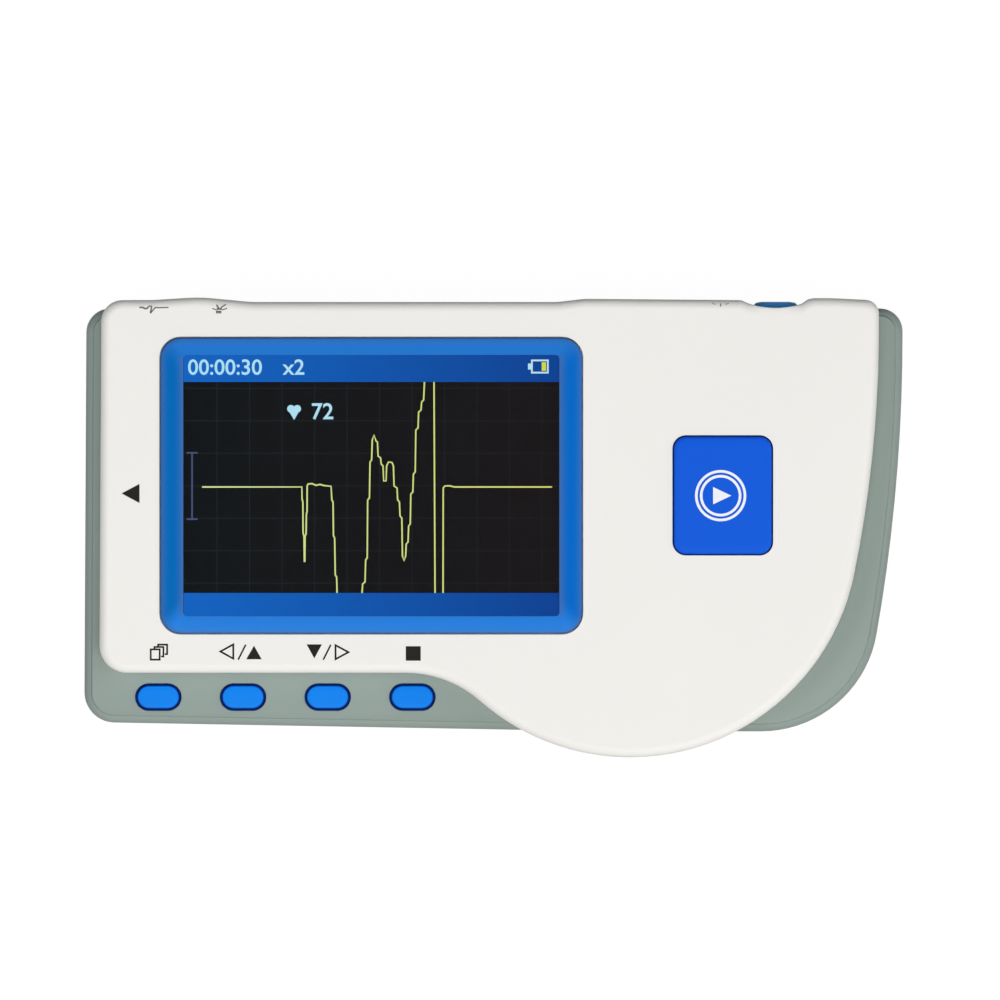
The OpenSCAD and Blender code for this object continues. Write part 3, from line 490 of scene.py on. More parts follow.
STEEL = Metal("plated_steel", linear(206, 208, 210), linear(172, 175, 178), Axis.Y)
SPRING_STEEL = Metal("spring_steel", linear(214, 216, 218), linear(180, 183, 186), Axis.X, (0.16, 0.3))
ELECTRODE_X = Metal("electrode_steel", linear(218, 220, 222), linear(188, 191, 194), Axis.X, (0.16, 0.34), 90.0)
ELECTRODE_Y = Metal("end_electrode_steel", linear(218, 220, 222), linear(188, 191, 194), Axis.Y, (0.16, 0.34), 90.0)
GOLD = Metal("gold_contact", linear(230, 190, 96), linear(204, 160, 70), Axis.X, (0.18, 0.32))
BAR_BLUE = Glow("display_bar_light", linear(8, 104, 202), linear(0, 66, 152))
FIELD_BLACK = Glow("display_field_light", linear(5, 12, 14), linear(19, 14, 15))
GRID_DIM = Glow("display_grid_light", linear(26, 35, 39), linear(27, 26, 32))
BRACKET_BLUE = Glow("display_bracket_light", linear(74, 85, 126), linear(74, 85, 126))
TRACE_YELLOW = Glow("display_trace_light", linear(226, 240, 162), linear(222, 228, 114))
TEXT_CYAN = Glow("display_digit_light", linear(176, 232, 255), linear(196, 232, 240), 0.9)
CHARGE_YELLOW = Glow("display_charge_light", linear(222, 226, 60), linear(222, 226, 60), 0.9)
PANE = ClearPane("window_pane")


# ---------------------------------------------------------------- modelling bench


def span(piece: Thing, axis: int) -> Point:
    """Lowest and highest place of a piece's mesh along an axis, in metres."""
    places = [vertex.co[axis] for vertex in piece.data.vertices]
    return min(places), max(places)


class Bench:
    """Modelling steps in millimetres, done with Blender's own operators."""

    boldness: float = 0.012

    def clear(self) -> None:
        """Leave edit mode and deselect all."""
        if bpy.context.object and bpy.context.object.mode != "OBJECT":
            bpy.ops.object.mode_set(mode="OBJECT")
        for thing in bpy.context.view_layer.objects:
            thing.select_set(False)

    def pick(self, *things: Thing) -> None:
        """Select these objects alone, the first one active."""
        self.clear()
        for thing in things:
            thing.select_set(True)
        bpy.context.view_layer.objects.active = things[0]

    def settle(self, piece: Thing) -> Thing:
        """Apply place, turn and size, so that the piece's object sits at the origin."""
        self.pick(piece)
        bpy.ops.object.transform_apply(location=True, rotation=True, scale=True)
        return piece

    @contextmanager
    def editing(self, piece: Thing) -> Iterator[None]:
        """Hold a piece in edit mode, at first with all of it selected."""
        self.pick(piece)
        bpy.ops.object.mode_set(mode="EDIT")
        bpy.ops.mesh.select_all(action="SELECT")
        yield
        bpy.ops.object.mode_set(mode="OBJECT")

    def apply(self, piece: Thing, kind: str, **settings: object) -> None:
        """Add a modifier and apply it.

        Args:
            piece: The object.
            kind: Blender's name of the modifier's kind.
            **settings: The modifier's values.
        """
        self.pick(piece)
        bpy.ops.object.modifier_add(type=kind)
        modifier = piece.modifiers[-1]
        for label, value in settings.items():
            setattr(modifier, label, value)
        bpy.ops.object.modifier_apply(modifier=modifier.name)

    def combine(self, piece: Thing, tool: Thing, operation: str) -> None:
        """Unite a piece with a tool, or cut it by the tool, and drop the tool."""
        self.apply(piece, "BOOLEAN", operation=operation, object=tool, solver="EXACT")
        bpy.data.objects.remove(tool)

    def join(self, name: str, pieces: list[Thing]) -> Thing:
        """Join pieces into one named object."""
        self.pick(*pieces)
        if len(pieces) > 1:
            bpy.ops.object.join()
        whole = bpy.context.object
        whole.name = whole.data.name = name
        return whole

    def smooth(self, piece: Thing, angle: float = 32.0, weighted: bool = True) -> None:
        """Shade smooth up to an angle, with flats kept flat."""
        self.pick(piece)
        bpy.ops.object.shade_smooth_by_angle(angle=math.radians(angle))
        if weighted:
            self.apply(piece, "WEIGHTED_NORMAL", keep_sharp=True, weight=80)

    def shape(self, symbol: Symbol, width: float, height: float, x: float, y: float, z: float,
              turn: float = 0.0) -> Thing:
        """Flat filled shape in millimetres.

        Args:
            symbol: The kind of shape.
            width: Its extent in X once turned.
            height: Its extent in Y once turned.
            x: Middle in X.
            y: Middle in Y.
            z: Height at which it lies.
            turn: Turn about Z in degrees, before it is sized.

        Returns:
            The new object.
        """
        self.clear()
        bpy.ops.mesh.primitive_circle_add(vertices=symbol.value, radius=1.0, fill_type="NGON")
        flat = bpy.context.object
        flat.rotation_euler.z = math.radians(turn + (45.0 if symbol is Symbol.SQUARE else 0.0))
        self.settle(flat)
        (left, right), (low, high) = span(flat, 0), span(flat, 1)
        flat.scale = (width * MM / (right - left), height * MM / (high - low), 1.0)
        self.settle(flat)
        middle = [sum(span(flat, axis)) / 2 for axis in range(2)]
        flat.location = (x * MM - middle[0], y * MM - middle[1], z * MM)
        return self.settle(flat)

    def hollow(self, flat: Thing, stroke: float) -> Thing:
        """Leave only a rim of the given width of a filled shape."""
        with self.editing(flat):
            bpy.ops.mesh.select_mode(type="FACE")
            bpy.ops.mesh.select_all(action="SELECT")
            bpy.ops.mesh.inset(thickness=stroke * MM)
            bpy.ops.mesh.delete(type="FACE")
        return flat

    def bar(self, start: Point, end: Point, stroke: float, z: float) -> Thing:
        """Flat straight stroke between two points in millimetres."""
        self.clear()
        (x0, y0), (x1, y1) = start, end
        bpy.ops.mesh.primitive_plane_add(size=1.0, location=((x0 + x1) / 2 * MM, (y0 + y1) / 2 * MM, z * MM))
        flat = bpy.context.object
        flat.rotation_euler.z = math.atan2(y1 - y0, x1 - x0)
        flat.scale = (math.hypot(x1 - x0, y1 - y0) * MM, stroke * MM, 1.0)
        return self.settle(flat)

    def block(self, middle: Vector, size: tuple[float, float, float], turn: float = 0.0) -> Thing:
        """Block round a place in metres.

        Args:
            middle: Its middle in metres.
            size: Its three sizes in millimetres.
            turn: Its turn about Z in degrees.

        Returns:
            The new object.
        """
        self.clear()
        bpy.ops.mesh.primitive_cube_add(size=1.0, location=middle)
        made = bpy.context.object
        made.scale = [c * MM for c in size]
        made.rotation_euler.z = math.radians(turn)
        return self.settle(made)

    def thicken(self, flat: Thing, thickness: float) -> Thing:
        """Extrude a flat sheet upward into a thin solid whose faces point outward."""
        with self.editing(flat):
            bpy.ops.mesh.select_mode(type="FACE")
            bpy.ops.mesh.select_all(action="SELECT")
            bpy.ops.mesh.extrude_region_move(TRANSFORM_OT_translate={"value": (0, 0, thickness * MM)})
            bpy.ops.mesh.select_all(action="SELECT")
            bpy.ops.mesh.normals_make_consistent(inside=False)
        return flat

    def ribbon(self, points: list[tuple[float, float, float]], stroke: float, thickness: float) -> Thing:
        """Thin flat ribbon along a line in millimetres, lying level.

        Args:
            points: The line's points.
            stroke: The ribbon's width.
            thickness: The ribbon's thickness.

        Returns:
            The new mesh object.
        """
        self.clear()
        section = bpy.data.curves.new("ribbon_section", "CURVE")
        spline = section.splines.new("POLY")
        spline.points.add(3)
        for point, (x, y) in zip(spline.points, ((-1, -1), (1, -1), (1, 1), (-1, 1))):
            point.co = (x * stroke / 2 * MM, y * thickness / 2 * MM, 0, 1)
        spline.use_cyclic_u = True
        cutter = bpy.data.objects.new("ribbon_section", section)
        bpy.context.scene.collection.objects.link(cutter)
        line = bpy.data.curves.new("ribbon", "CURVE")
        line.dimensions = "3D"
        line.twist_mode = "Z_UP"
        line.bevel_mode = "OBJECT"
        line.bevel_object = cutter
        line.use_fill_caps = True
        run = line.splines.new("POLY")
        run.points.add(len(points) - 1)
        for point, place in zip(run.points, points):
            point.co = (*(c * MM for c in place), 1)
        made = bpy.data.objects.new("ribbon", line)
        bpy.context.scene.collection.objects.link(made)
        self.pick(made)
        bpy.ops.object.convert(target="MESH")
        bpy.data.objects.remove(cutter)
        return self.weld(bpy.context.object)

    def weld(self, piece: Thing, distance_mm: float = 0.001) -> Thing:
        """Merge doubles and turn all faces outward."""
        with self.editing(piece):
            bpy.ops.mesh.remove_doubles(threshold=distance_mm * MM)
            bpy.ops.mesh.normals_make_consistent(inside=False)
        return piece

    def words(self, text: str, size: float, x: float, y: float, z: float, thickness: float) -> Thing:
        """Plain digits or signs as a thin solid, its left end and foot at the given place in millimetres."""
        self.clear()
        bpy.ops.object.text_add(location=(0, 0, 0))
        made = bpy.context.object
        made.data.body = text
        made.data.size = size * MM
        made.data.extrude = thickness / 2 * MM
        made.data.offset = self.boldness * size * MM
        made.data.resolution_u = 4
        bpy.ops.object.convert(target="MESH")
        made = bpy.context.object
        made.location = (x * MM, y * MM, z * MM)
        return self.weld(self.settle(made))


BENCH = Bench()
MERGE_MM = 0.002
FLAT_ANGLE = 0.25
SHARP_ANGLE = 50.0


def copied_node(node: str) -> Thing:
    """Copy a CAD node's mesh into a new free object, merged and with its flat faces made whole.

    Args:
        node: Name of the CAD node.

    Returns:
        The new object.
    """
    source = frame["nodes"][node]
    piece = source.copy()
    piece.data = source.data.copy()
    for label in [k for k in piece.keys() if k.startswith("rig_")]:
        del piece[label]
    piece.parent = None
    piece.data.materials.clear()
    bpy.context.scene.collection.objects.link(piece)
    BENCH.pick(piece)
    bpy.ops.mesh.customdata_custom_splitnormals_clear()
    with BENCH.editing(piece):
        bpy.ops.mesh.remove_doubles(threshold=MERGE_MM * MM)
        bpy.ops.mesh.dissolve_limited(angle_limit=math.radians(FLAT_ANGLE))
    return piece


@dataclass
class Assembly:
    """Base of each sub-assembly: dresses CAD nodes and puts new pieces on their bodies."""

    body: str = "housing"

    def paint(self, finishes: dict[str, Finish]) -> None:
        """Give CAD nodes that stay as they are their finish."""
        for node, finish in finishes.items():
            thing = frame["nodes"][node]
            if not thing.material_slots:
                thing.data.materials.append(None)
            for slot in thing.material_slots:
                slot.link = "OBJECT"
                slot.material = finish.material()
            log.info("%s: painted %s", node, finish.name)

    def place(self, piece: Thing, name: str, finish: Finish, body: str | None = None,
              slot: str | None = None, stands_for: str | None = None) -> Thing:
        """Name a finished piece, dress it and let it ride on its body.

        Args:
            piece: The finished object, at the origin.
            name: Its name.
            finish: Its finish.
            body: The CAD body it moves with, or None for the sub-assembly's own.
            slot: The record's material slot, if it takes one; not used.
            stands_for: The CAD node that it replaces, if any.

        Returns:
            The piece.
        """
        piece.name = piece.data.name = name
        piece.data.materials.clear()
        piece.data.materials.append(finish.material())
        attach(piece, body or self.body)
        if stands_for:
            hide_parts(stands_for)
        log.info("%s: %d faces, %s", name, len(piece.data.polygons), finish.name)
        return piece

    def refine(self, node: str, name: str, finish: Finish, slot: str, body: str | None = None,
               bevel_mm: float = 0.0, angle: float = 32.0,
               change: Callable[[Thing], None] | None = None) -> Thing:
        """Replace a faceted CAD node by a smooth-shaded copy with softened edges.

        Args:
            node: The CAD node.
            name: Name of the new piece.
            finish: Its finish.
            slot: The record's material slot.
            body: The body it rides on, or None for the sub-assembly's own.
            bevel_mm: Width of the softening of its sharp edges.
            angle: Angle above which an edge stays sharp.
            change: A change to the copied mesh, made before it is smoothed.

        Returns:
            The new piece.
        """
        piece = copied_node(node)
        if change:
            change(piece)
        if bevel_mm:
            BENCH.apply(piece, "BEVEL", width=bevel_mm * MM, segments=2, limit_method="ANGLE",
                        angle_limit=math.radians(SHARP_ANGLE), use_clamp_overlap=True)
        BENCH.smooth(piece, angle)
        return self.place(piece, name, finish, body, slot, node)


# ---------------------------------------------------------------- housing and its print


@dataclass
class Housing(Assembly):
    """The two shells, the battery door, the case screws and all print on the white face."""

    face_z: float = 23.6
    ink: float = 0.02
    stroke: float = 0.29
    back_arrow: Point = (-57.62, 5.4)
    symbol_y: float = -19.8
    scoop_x: float = 44.8
    scoop_from: Point = (33.3, 20.8)
    scoop_half: float = 4.9
    scoop_blend: float = 2.2
    scoop_rise: float = 0.88
    page_size: Point = (1.7, 1.91)
    page_stroke: float = 0.28
    door_arrow: Point = (4.4, 5.0)
    door_arrow_inset: float = 22.0
    door_arrow_proud: float = 0.09
    shell: Thing | None = field(default=None, init=False)
    door: Thing | None = field(default=None, init=False)

    def build(self) -> None:
        """Build the whole sub-assembly."""
        self.shell = self.refine("front_shell", "white_front_shell", WHITE_SHELL, "white_shell",
                                 change=self.crisp_scoop)
        self.refine("rear_shell", "grey_rear_shell", GREY_SHELL, "grey_shell")
        self.door = self.refine("battery_door", "battery_door_panel", GREY_SHELL, "grey_shell", "battery_door")
        self.print_key_symbols()
        self.print_side_symbols()
        self.mark_door()
        self.drive_screws()

    def crisp_scoop(self, shell: Thing) -> None:
        """Raise the rounding over the power button, so that the face ends there in a crisp lip."""
        for vertex in shell.data.vertices:
            x, y, z = vertex.co / MM
            if y > self.scoop_from[0] and z > self.scoop_from[1]:
                share = min(max((self.scoop_half - abs(x - self.scoop_x)) / self.scoop_blend, 0.0), 1.0)
                vertex.co.z += (self.face_z - z) * self.scoop_rise * share * share * (3 - 2 * share) * MM

    def inked(self, name: str, flats: list[Thing], finish: Finish = BLACK_INK) -> None:
        """Thicken flat shapes on the white face into print and place them as one piece."""
        self.place(BENCH.thicken(BENCH.join(name, flats), self.ink), name, finish)

    def triangle(self, x: float, y: float, width: float, height: float, turn: float) -> Thing:
        """Filled triangle on the white face."""
        return BENCH.shape(Symbol.TRIANGLE, width, height, x, y, self.face_z, turn)

    def slash(self, x: float) -> Thing:
        """Slanted stroke between two symbols."""
        return BENCH.bar((x - 0.6, self.symbol_y - 1.2), (x + 0.6, self.symbol_y + 1.2), 0.26, self.face_z)

    def print_key_symbols(self) -> None:
        """Print the symbols over the menu keys and the arrow at the left."""
        up, left, down, right = 0, 90, 180, 270
        self.inked("print_left_arrow", [self.triangle(*self.back_arrow, 2.85, 3.05, left)])
        pages = [self.page(-53.7 + 0.59 * i, -20.17 + 0.38 * i, i) for i in range(3)]
        self.inked("print_pages", [part for page in pages for part in page])
        self.inked("print_left_up", [
            BENCH.hollow(self.triangle(-42.4, -19.69, 2.48, 2.75, left), self.stroke), self.slash(-39.93),
            self.triangle(-38.02, -19.84, 2.44, 2.16, up)])
        self.inked("print_down_right", [
            self.triangle(-28.45, -19.67, 2.43, 2.22, down), self.slash(-26.42),
            BENCH.hollow(self.triangle(-23.97, -19.8, 2.5, 2.7, right), self.stroke)])
        self.inked("print_stop", [BENCH.shape(Symbol.SQUARE, 2.37, 2.3, -12.74, -20.0, self.face_z)])

    def page(self, x: float, y: float, order: int) -> list[Thing]:
        """Outline of one sheet of the stacked pages, of which the rear ones show two sides."""
        (w, h), t, z = self.page_size, self.page_stroke, self.face_z
        if order == 0:
            return [BENCH.hollow(BENCH.shape(Symbol.SQUARE, w, h, x, y, z), t)]
        left, right, low, high = x - w / 2, x + w / 2, y - h / 2, y + h / 2
        return [BENCH.bar((left, high - t / 2), (right, high - t / 2), t, z),
                BENCH.bar((right - t / 2, high - t), (right - t / 2, low + 0.12), t, z),
                BENCH.bar((left + t / 2, high - t), (left + t / 2, high - 0.52), t, z),
                BENCH.bar((right - t, low + t / 2 + 0.12), (right - 0.5, low + t / 2 + 0.12), t, z)]

    def dropped(self, x: float, y: float) -> tuple[float, float, float]:
        """Point in millimetres on the white shell's surface under x and y."""
        hit, place, _, _ = self.shell.ray_cast(Vector((x * MM, y * MM, 0.03)), Vector((0, 0, -1)))
        return x, y, (place.z / MM if hit else self.face_z) + self.ink / 2

    def line(self, points: list[Point], stroke: float) -> Thing:
        """Printed line that follows the shell's rounded edge."""
        dense = []
        for (x0, y0), (x1, y1) in zip(points, points[1:]):
            steps = max(1, math.ceil(math.hypot(x1 - x0, y1 - y0) / 0.2))
            dense += [(x0 + (x1 - x0) * k / steps, y0 + (y1 - y0) * k / steps) for k in range(steps)]
        dense.append(points[-1])
        return BENCH.ribbon([self.dropped(x, y) for x, y in dense], stroke, self.ink)

    def print_side_symbols(self) -> None:
        """Print the small grey symbols on the rounding of the top side."""
        beat = [(-56.2, 34.9), (-55.7, 34.93), (-55.3, 34.72), (-55.05, 34.74), (-54.6, 35.1), (-54.25, 35.1),
                (-54.45, 34.0)]
        rise = [(-54.42, 34.05), (-53.65, 34.93), (-53.15, 34.87), (-51.6, 34.92)]
        self.place(BENCH.join("print_wave", [self.line(beat, 0.26), self.line(rise, 0.2)]), "print_wave", GREY_INK)
        person = (((-43.97, 35.35), (-43.65, 34.8), 0.26), ((-42.45, 35.38), (-43.3, 34.87), 0.22),
                  ((-44.65, 34.77), (-43.9, 34.5), 0.18), ((-42.27, 34.78), (-43.1, 34.52), 0.18),
                  ((-43.92, 34.68), (-43.12, 34.68), 0.34), ((-44.05, 34.18), (-43.2, 34.18), 0.42))
        limbs = [self.line([start, end], stroke) for start, end, stroke in person]
        self.place(BENCH.join("print_person", limbs), "print_person", GREY_INK)
        sides = [self.line([(36.05 + way * x, y) for x, y in ((1.35, 35.62), (1.12, 35.48), (0.8, 35.4))], 0.14)
                 for way in (-1, 1)]
        self.place(BENCH.join("print_power", [*sides, self.line([(36.05, 35.55), (36.05, 35.05)], 0.18)]),
                   "print_power", GREY_INK)

    def mark_door(self) -> None:
        """Put a small dark raised arrow on the battery door that shows which way it slides."""
        low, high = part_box("battery_door")
        x, y = high.x / MM - self.door_arrow_inset, (low.y + high.y) / 2 / MM
        _, place, _, _ = self.door.ray_cast(Vector((x * MM, y * MM, -0.01)), Vector((0, 0, 1)))
        arrow = BENCH.shape(Symbol.TRIANGLE, *self.door_arrow, x, y, place.z / MM - self.door_arrow_proud, 90)
        arrow = BENCH.thicken(arrow, 0.2)
        BENCH.apply(arrow, "BEVEL", width=0.04 * MM, segments=2)
        self.place(arrow, "battery_door_arrow", DARK_MARK, "battery_door")

    def drive_screws(self) -> None:
        """Replace the plain case screws by screws with a cross recess and a thread."""
        guide = copied_node("case_screws")
        BENCH.pick(guide)
        bpy.ops.mesh.separate(type="LOOSE")
        plain = list(bpy.context.selected_objects)
        screws = []
        for solid in plain:
            xs, ys, ends = (span(solid, axis) for axis in range(3))
            screws.append(self.screw(sum(xs) / 2, sum(ys) / 2, *ends))
        for solid in plain:
            bpy.data.objects.remove(solid)
        self.place(BENCH.join("case_screw_set", screws), "case_screw_set", STEEL, None, "steel", "case_screws")

    def screw(self, x: float, y: float, low: float, high: float) -> Thing:
        """One case screw in metres, head down, with ridges for its thread.

        Args:
            x: Its middle in X.
            y: Its middle in Y.
            low: Height of its head's outer face.
            high: Height of its tip.

        Returns:
            The screw.
        """
        head_h, head_r, shaft_r, pitch = 1.4 * MM, 2.0 * MM, 1.0 * MM, 0.5 * MM
        BENCH.clear()
        bpy.ops.mesh.primitive_cylinder_add(vertices=32, radius=head_r, depth=head_h,
                                            location=(x, y, low + head_h / 2))
        head = BENCH.settle(bpy.context.object)
        BENCH.apply(head, "BEVEL", width=0.35 * MM, segments=4, limit_method="ANGLE", angle_limit=math.radians(60))
        for turn in (0, 90):
            BENCH.combine(head, BENCH.block((x, y, low + 0.25 * MM), (2.3, 0.5, 1.3), turn), "DIFFERENCE")
        BENCH.clear()
        bpy.ops.mesh.primitive_cylinder_add(vertices=20, radius=shaft_r, depth=high - low - head_h,
                                            location=(x, y, (high + low + head_h) / 2))
        shaft = BENCH.settle(bpy.context.object)
        rings = int((high - low - head_h) / pitch)
        with BENCH.editing(shaft):
            for k in range(1, rings):
                ring = (x, y, low + head_h + k * pitch)
                bpy.ops.mesh.select_all(action="SELECT")
                bpy.ops.mesh.bisect(plane_co=ring, plane_no=(0, 0, 1))
                if k % 2:
                    bpy.ops.transform.resize(value=(0.8, 0.8, 1), center_override=ring)
        whole = BENCH.join("screw", [head, shaft])
        BENCH.smooth(whole, 30)
        return whole


# ---------------------------------------------------------------- screen


@dataclass
class ScreenUnit(Assembly):
    """Blue frame, clear pane, display and its lit picture."""

    pixel: float = 0.15873
    centre: Point = (493.5, 527.5)
    panel_z: float = 21.35
    sheet: float = 0.015
    field_box: tuple[float, float, float, float] = (183.5, 382.0, 559.0, 593.0)
    bar_top: float = 353.5
    bar_foot: float = 617.5
    grid_pitch: float = 32.5
    grid_start: Point = (217.0, 388.3)
    grid_half: float = 0.5
    layer: float = 0.016
    bracket: tuple[tuple[float, float, float, float], ...] = (
        (191.2, 453, 192.8, 519), (186.5, 452, 197.5, 453.6), (186.5, 518.4, 197.5, 520))
    trace_width: float = 0.24
    trace: tuple[tuple[Point, ...], ...] = (
        ((202, 487), (301.8, 487), (302, 500), (302.8, 501), (303, 533), (304, 536), (304.1, 561.5), (304.9, 561.5),
         (305, 536), (306, 534), (306.3, 514), (307, 512), (307.1, 486), (308, 484), (312, 483.6), (316, 485.4),
         (320, 484.4), (324, 485.6), (331, 486.3), (331.8, 500), (333, 502), (333.4, 536),
         (334.6, 538), (335.2, 575), (336.6, 577), (337, 593)),
        ((362, 593), (362.6, 584), (365, 582), (365.6, 560), (367.2, 558), (367.6, 500), (369.4, 498), (370, 462),
         (371.6, 460), (372.2, 440), (374, 435), (376, 441), (377.4, 442), (378, 456), (380.6, 458), (381.2, 464),
         (383, 466), (383.6, 481), (386, 481), (386.6, 466), (388.4, 462), (392, 462.5), (393.4, 466), (394, 486),
         (397, 488), (397.6, 500), (399.4, 502), (400, 516), (401.8, 518), (402.4, 556), (404, 561), (405.6, 556),
         (406.2, 544), (408, 542), (408.6, 526), (410.2, 524), (410.8, 494), (412.8, 492), (413.4, 474),
         (415.2, 472), (415.8, 430), (418, 428), (418.6, 412), (421, 410), (421.6, 402), (423.6, 400), (424.4, 382)),
        ((434, 382), (434.4, 470), (435, 593)),
        ((443, 593), (443.2, 488), (445, 486), (450, 485.8), (454, 487), (552, 487)),
    )

    def at(self, px: float, py: float) -> Point:
        """Place in millimetres of a point of the photograph's frame."""
        return (px - self.centre[0]) * self.pixel, (self.centre[1] - py) * self.pixel

    def build(self) -> None:
        """Build the whole sub-assembly."""
        low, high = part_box("screen_bezel")
        middle, half = (low + high) / 2, (high - low) / 2
        frame_blue = FramePlastic("screen_frame_painted_light", (middle.x, middle.y), (half.x, half.y))
        self.refine("screen_bezel", "screen_frame", frame_blue, "frame_blue")
        self.paint({"screen_window": PANE, "screen_gasket": BLACK_FOAM, "lcd_glass": PANEL_BLACK,
                    "lcd_tray": TRAY_WHITE})
        self.light_fields()
        self.light_grid()
        self.light_trace()
        self.light_signs()

    def rectangle(self, x0: float, y0: float, x1: float, y1: float, lift: float) -> Thing:
        """Flat rectangle between two points of the photograph's frame, lifted above the panel."""
        (left, high), (right, low) = self.at(x0, y0), self.at(x1, y1)
        return BENCH.shape(Symbol.SQUARE, right - left, high - low, (left + right) / 2, (low + high) / 2,
                           self.panel_z + lift)

    def lit(self, name: str, flats: list[Thing], finish: Finish) -> None:
        """Thicken flat shapes into a thin lit layer."""
        self.place(BENCH.thicken(BENCH.join(name, flats), self.sheet), name, finish)

    def light_fields(self) -> None:
        """Light the dark field and the two blue bars."""
        x0, y0, x1, y1 = self.field_box
        self.lit("display_field", [self.rectangle(x0, y0, x1, y1, 0.0)], FIELD_BLACK)
        self.lit("display_bars", [self.rectangle(x0, self.bar_top, x1, y0, 0.0),
                                  self.rectangle(x0, y1, x1, self.bar_foot, 0.0)], BAR_BLUE)

    def light_grid(self) -> None:
        """Light the dim grid and the scale bracket at the left."""
        x0, y0, x1, y1 = self.field_box
        (x, y), step, half, lift = self.grid_start, self.grid_pitch, self.grid_half, self.layer
        lines = [self.rectangle(x + k * step - half, y0, x + k * step + half, y1, lift)
                 for k in range(math.ceil((x1 - x) / step))]
        lines += [self.rectangle(x0, y + k * step - half, x1, y + k * step + half, 2 * lift)
                  for k in range(math.ceil((y1 - y) / step))]
        bracket = [self.rectangle(*self.bracket[0], 3 * lift)]
        bracket += [self.rectangle(*box, 4 * lift) for box in self.bracket[1:]]
        for name, parts, finish in (("display_grid", lines, GRID_DIM), ("display_bracket", bracket, BRACKET_BLUE)):
            solids = [BENCH.thicken(part, self.sheet) for part in parts]
            self.place(BENCH.join(name, solids), name, finish)

    def light_trace(self) -> None:
        """Light the yellow heart trace."""
        runs = [BENCH.ribbon([(*self.at(*p), self.panel_z + 0.1) for p in run], self.trace_width, self.sheet)
                for run in self.trace]
        self.place(BENCH.join("display_trace", runs), "display_trace", TRACE_YELLOW)

    def light_signs(self) -> None:
        """Light the clock, gain and pulse digits, the heart and the battery sign."""
        z = self.panel_z + 0.05
        digits = []
        for text, px, py, size in (("00:00:30", 187.5, 374.5, 3.45), ("x2", 283, 374.5, 3.45), ("72", 311, 419, 3.6)):
            x, y = self.at(px, py)
            digits.append(BENCH.words(text, size, x, y, z, 0.03))
        self.place(BENCH.join("display_digits", digits), "display_digits", TEXT_CYAN)
        x, y = self.at(294, 411)
        heart = [BENCH.shape(Symbol.DISC, 1.2, 1.2, x + side, y + 0.35, z) for side in (-0.5, 0.5)]
        heart.append(BENCH.shape(Symbol.TRIANGLE, 2.05, 1.75, x, y - 0.55, z, 180))
        solids = [BENCH.thicken(part, self.sheet + 0.01 * k) for k, part in enumerate(heart)]
        for other in solids[1:]:
            BENCH.combine(solids[0], other, "UNION")
        self.place(solids[0], "display_heart", TEXT_CYAN)
        outline = BENCH.hollow(self.rectangle(531, 359.5, 548.7, 373.5, 0.05), 0.28)
        nub = self.rectangle(528, 363.5, 531.2, 369.5, 0.05)
        self.lit("display_battery_sign", [outline, nub], TEXT_CYAN)
        self.lit("display_charge_sign", [self.rectangle(541.7, 362.2, 546, 370.8, 0.05)], CHARGE_YELLOW)


# ---------------------------------------------------------------- keys and buttons


@dataclass
class Controls(Assembly):
    """Menu keys, start button, power button and their switches."""

    key_softening: float = 0.15
    ring_outer: float = 8.15
    ring_inner: float = 6.6
    ring_stroke: float = 0.42

    def build(self) -> None:
        """Build the whole sub-assembly."""
        for key in ("menu_key", "left_up_key", "down_right_key", "stop_key"):
            self.refine(key, f"{key}_cap", KEY_BLUE, "key_blue", key, self.key_softening)
        self.refine("start_button", "start_button_cap", START_BLUE, "start_blue", "start_button")
        self.refine("power_button", "power_button_cap", POWER_BLUE, "key_blue", "power_button")
        self.print_start_sign()
        self.paint({"key_switches": STEEL, "start_switch": BLACK_PART, "power_switch": BLACK_PART})

    def print_start_sign(self) -> None:
        """Print the double ring and the triangle on the start button."""
        low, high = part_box("start_button")
        x, y = (low.x + high.x) / 2 / MM, (low.y + high.y) / 2 / MM
        z = high.z / MM
        rings = [BENCH.hollow(BENCH.shape(Symbol.DISC, d, d, x - 0.35, y - 0.05, z), self.ring_stroke)
                 for d in (self.ring_outer, self.ring_inner)]
        rings.append(BENCH.shape(Symbol.TRIANGLE, 2.9, 2.75, x - 0.1, y - 0.05, z, 270))
        sign = BENCH.thicken(BENCH.join("print_start", rings), 0.02)
        self.place(sign, "print_start", WHITE_INK, "start_button")


# ---------------------------------------------------------------- batteries


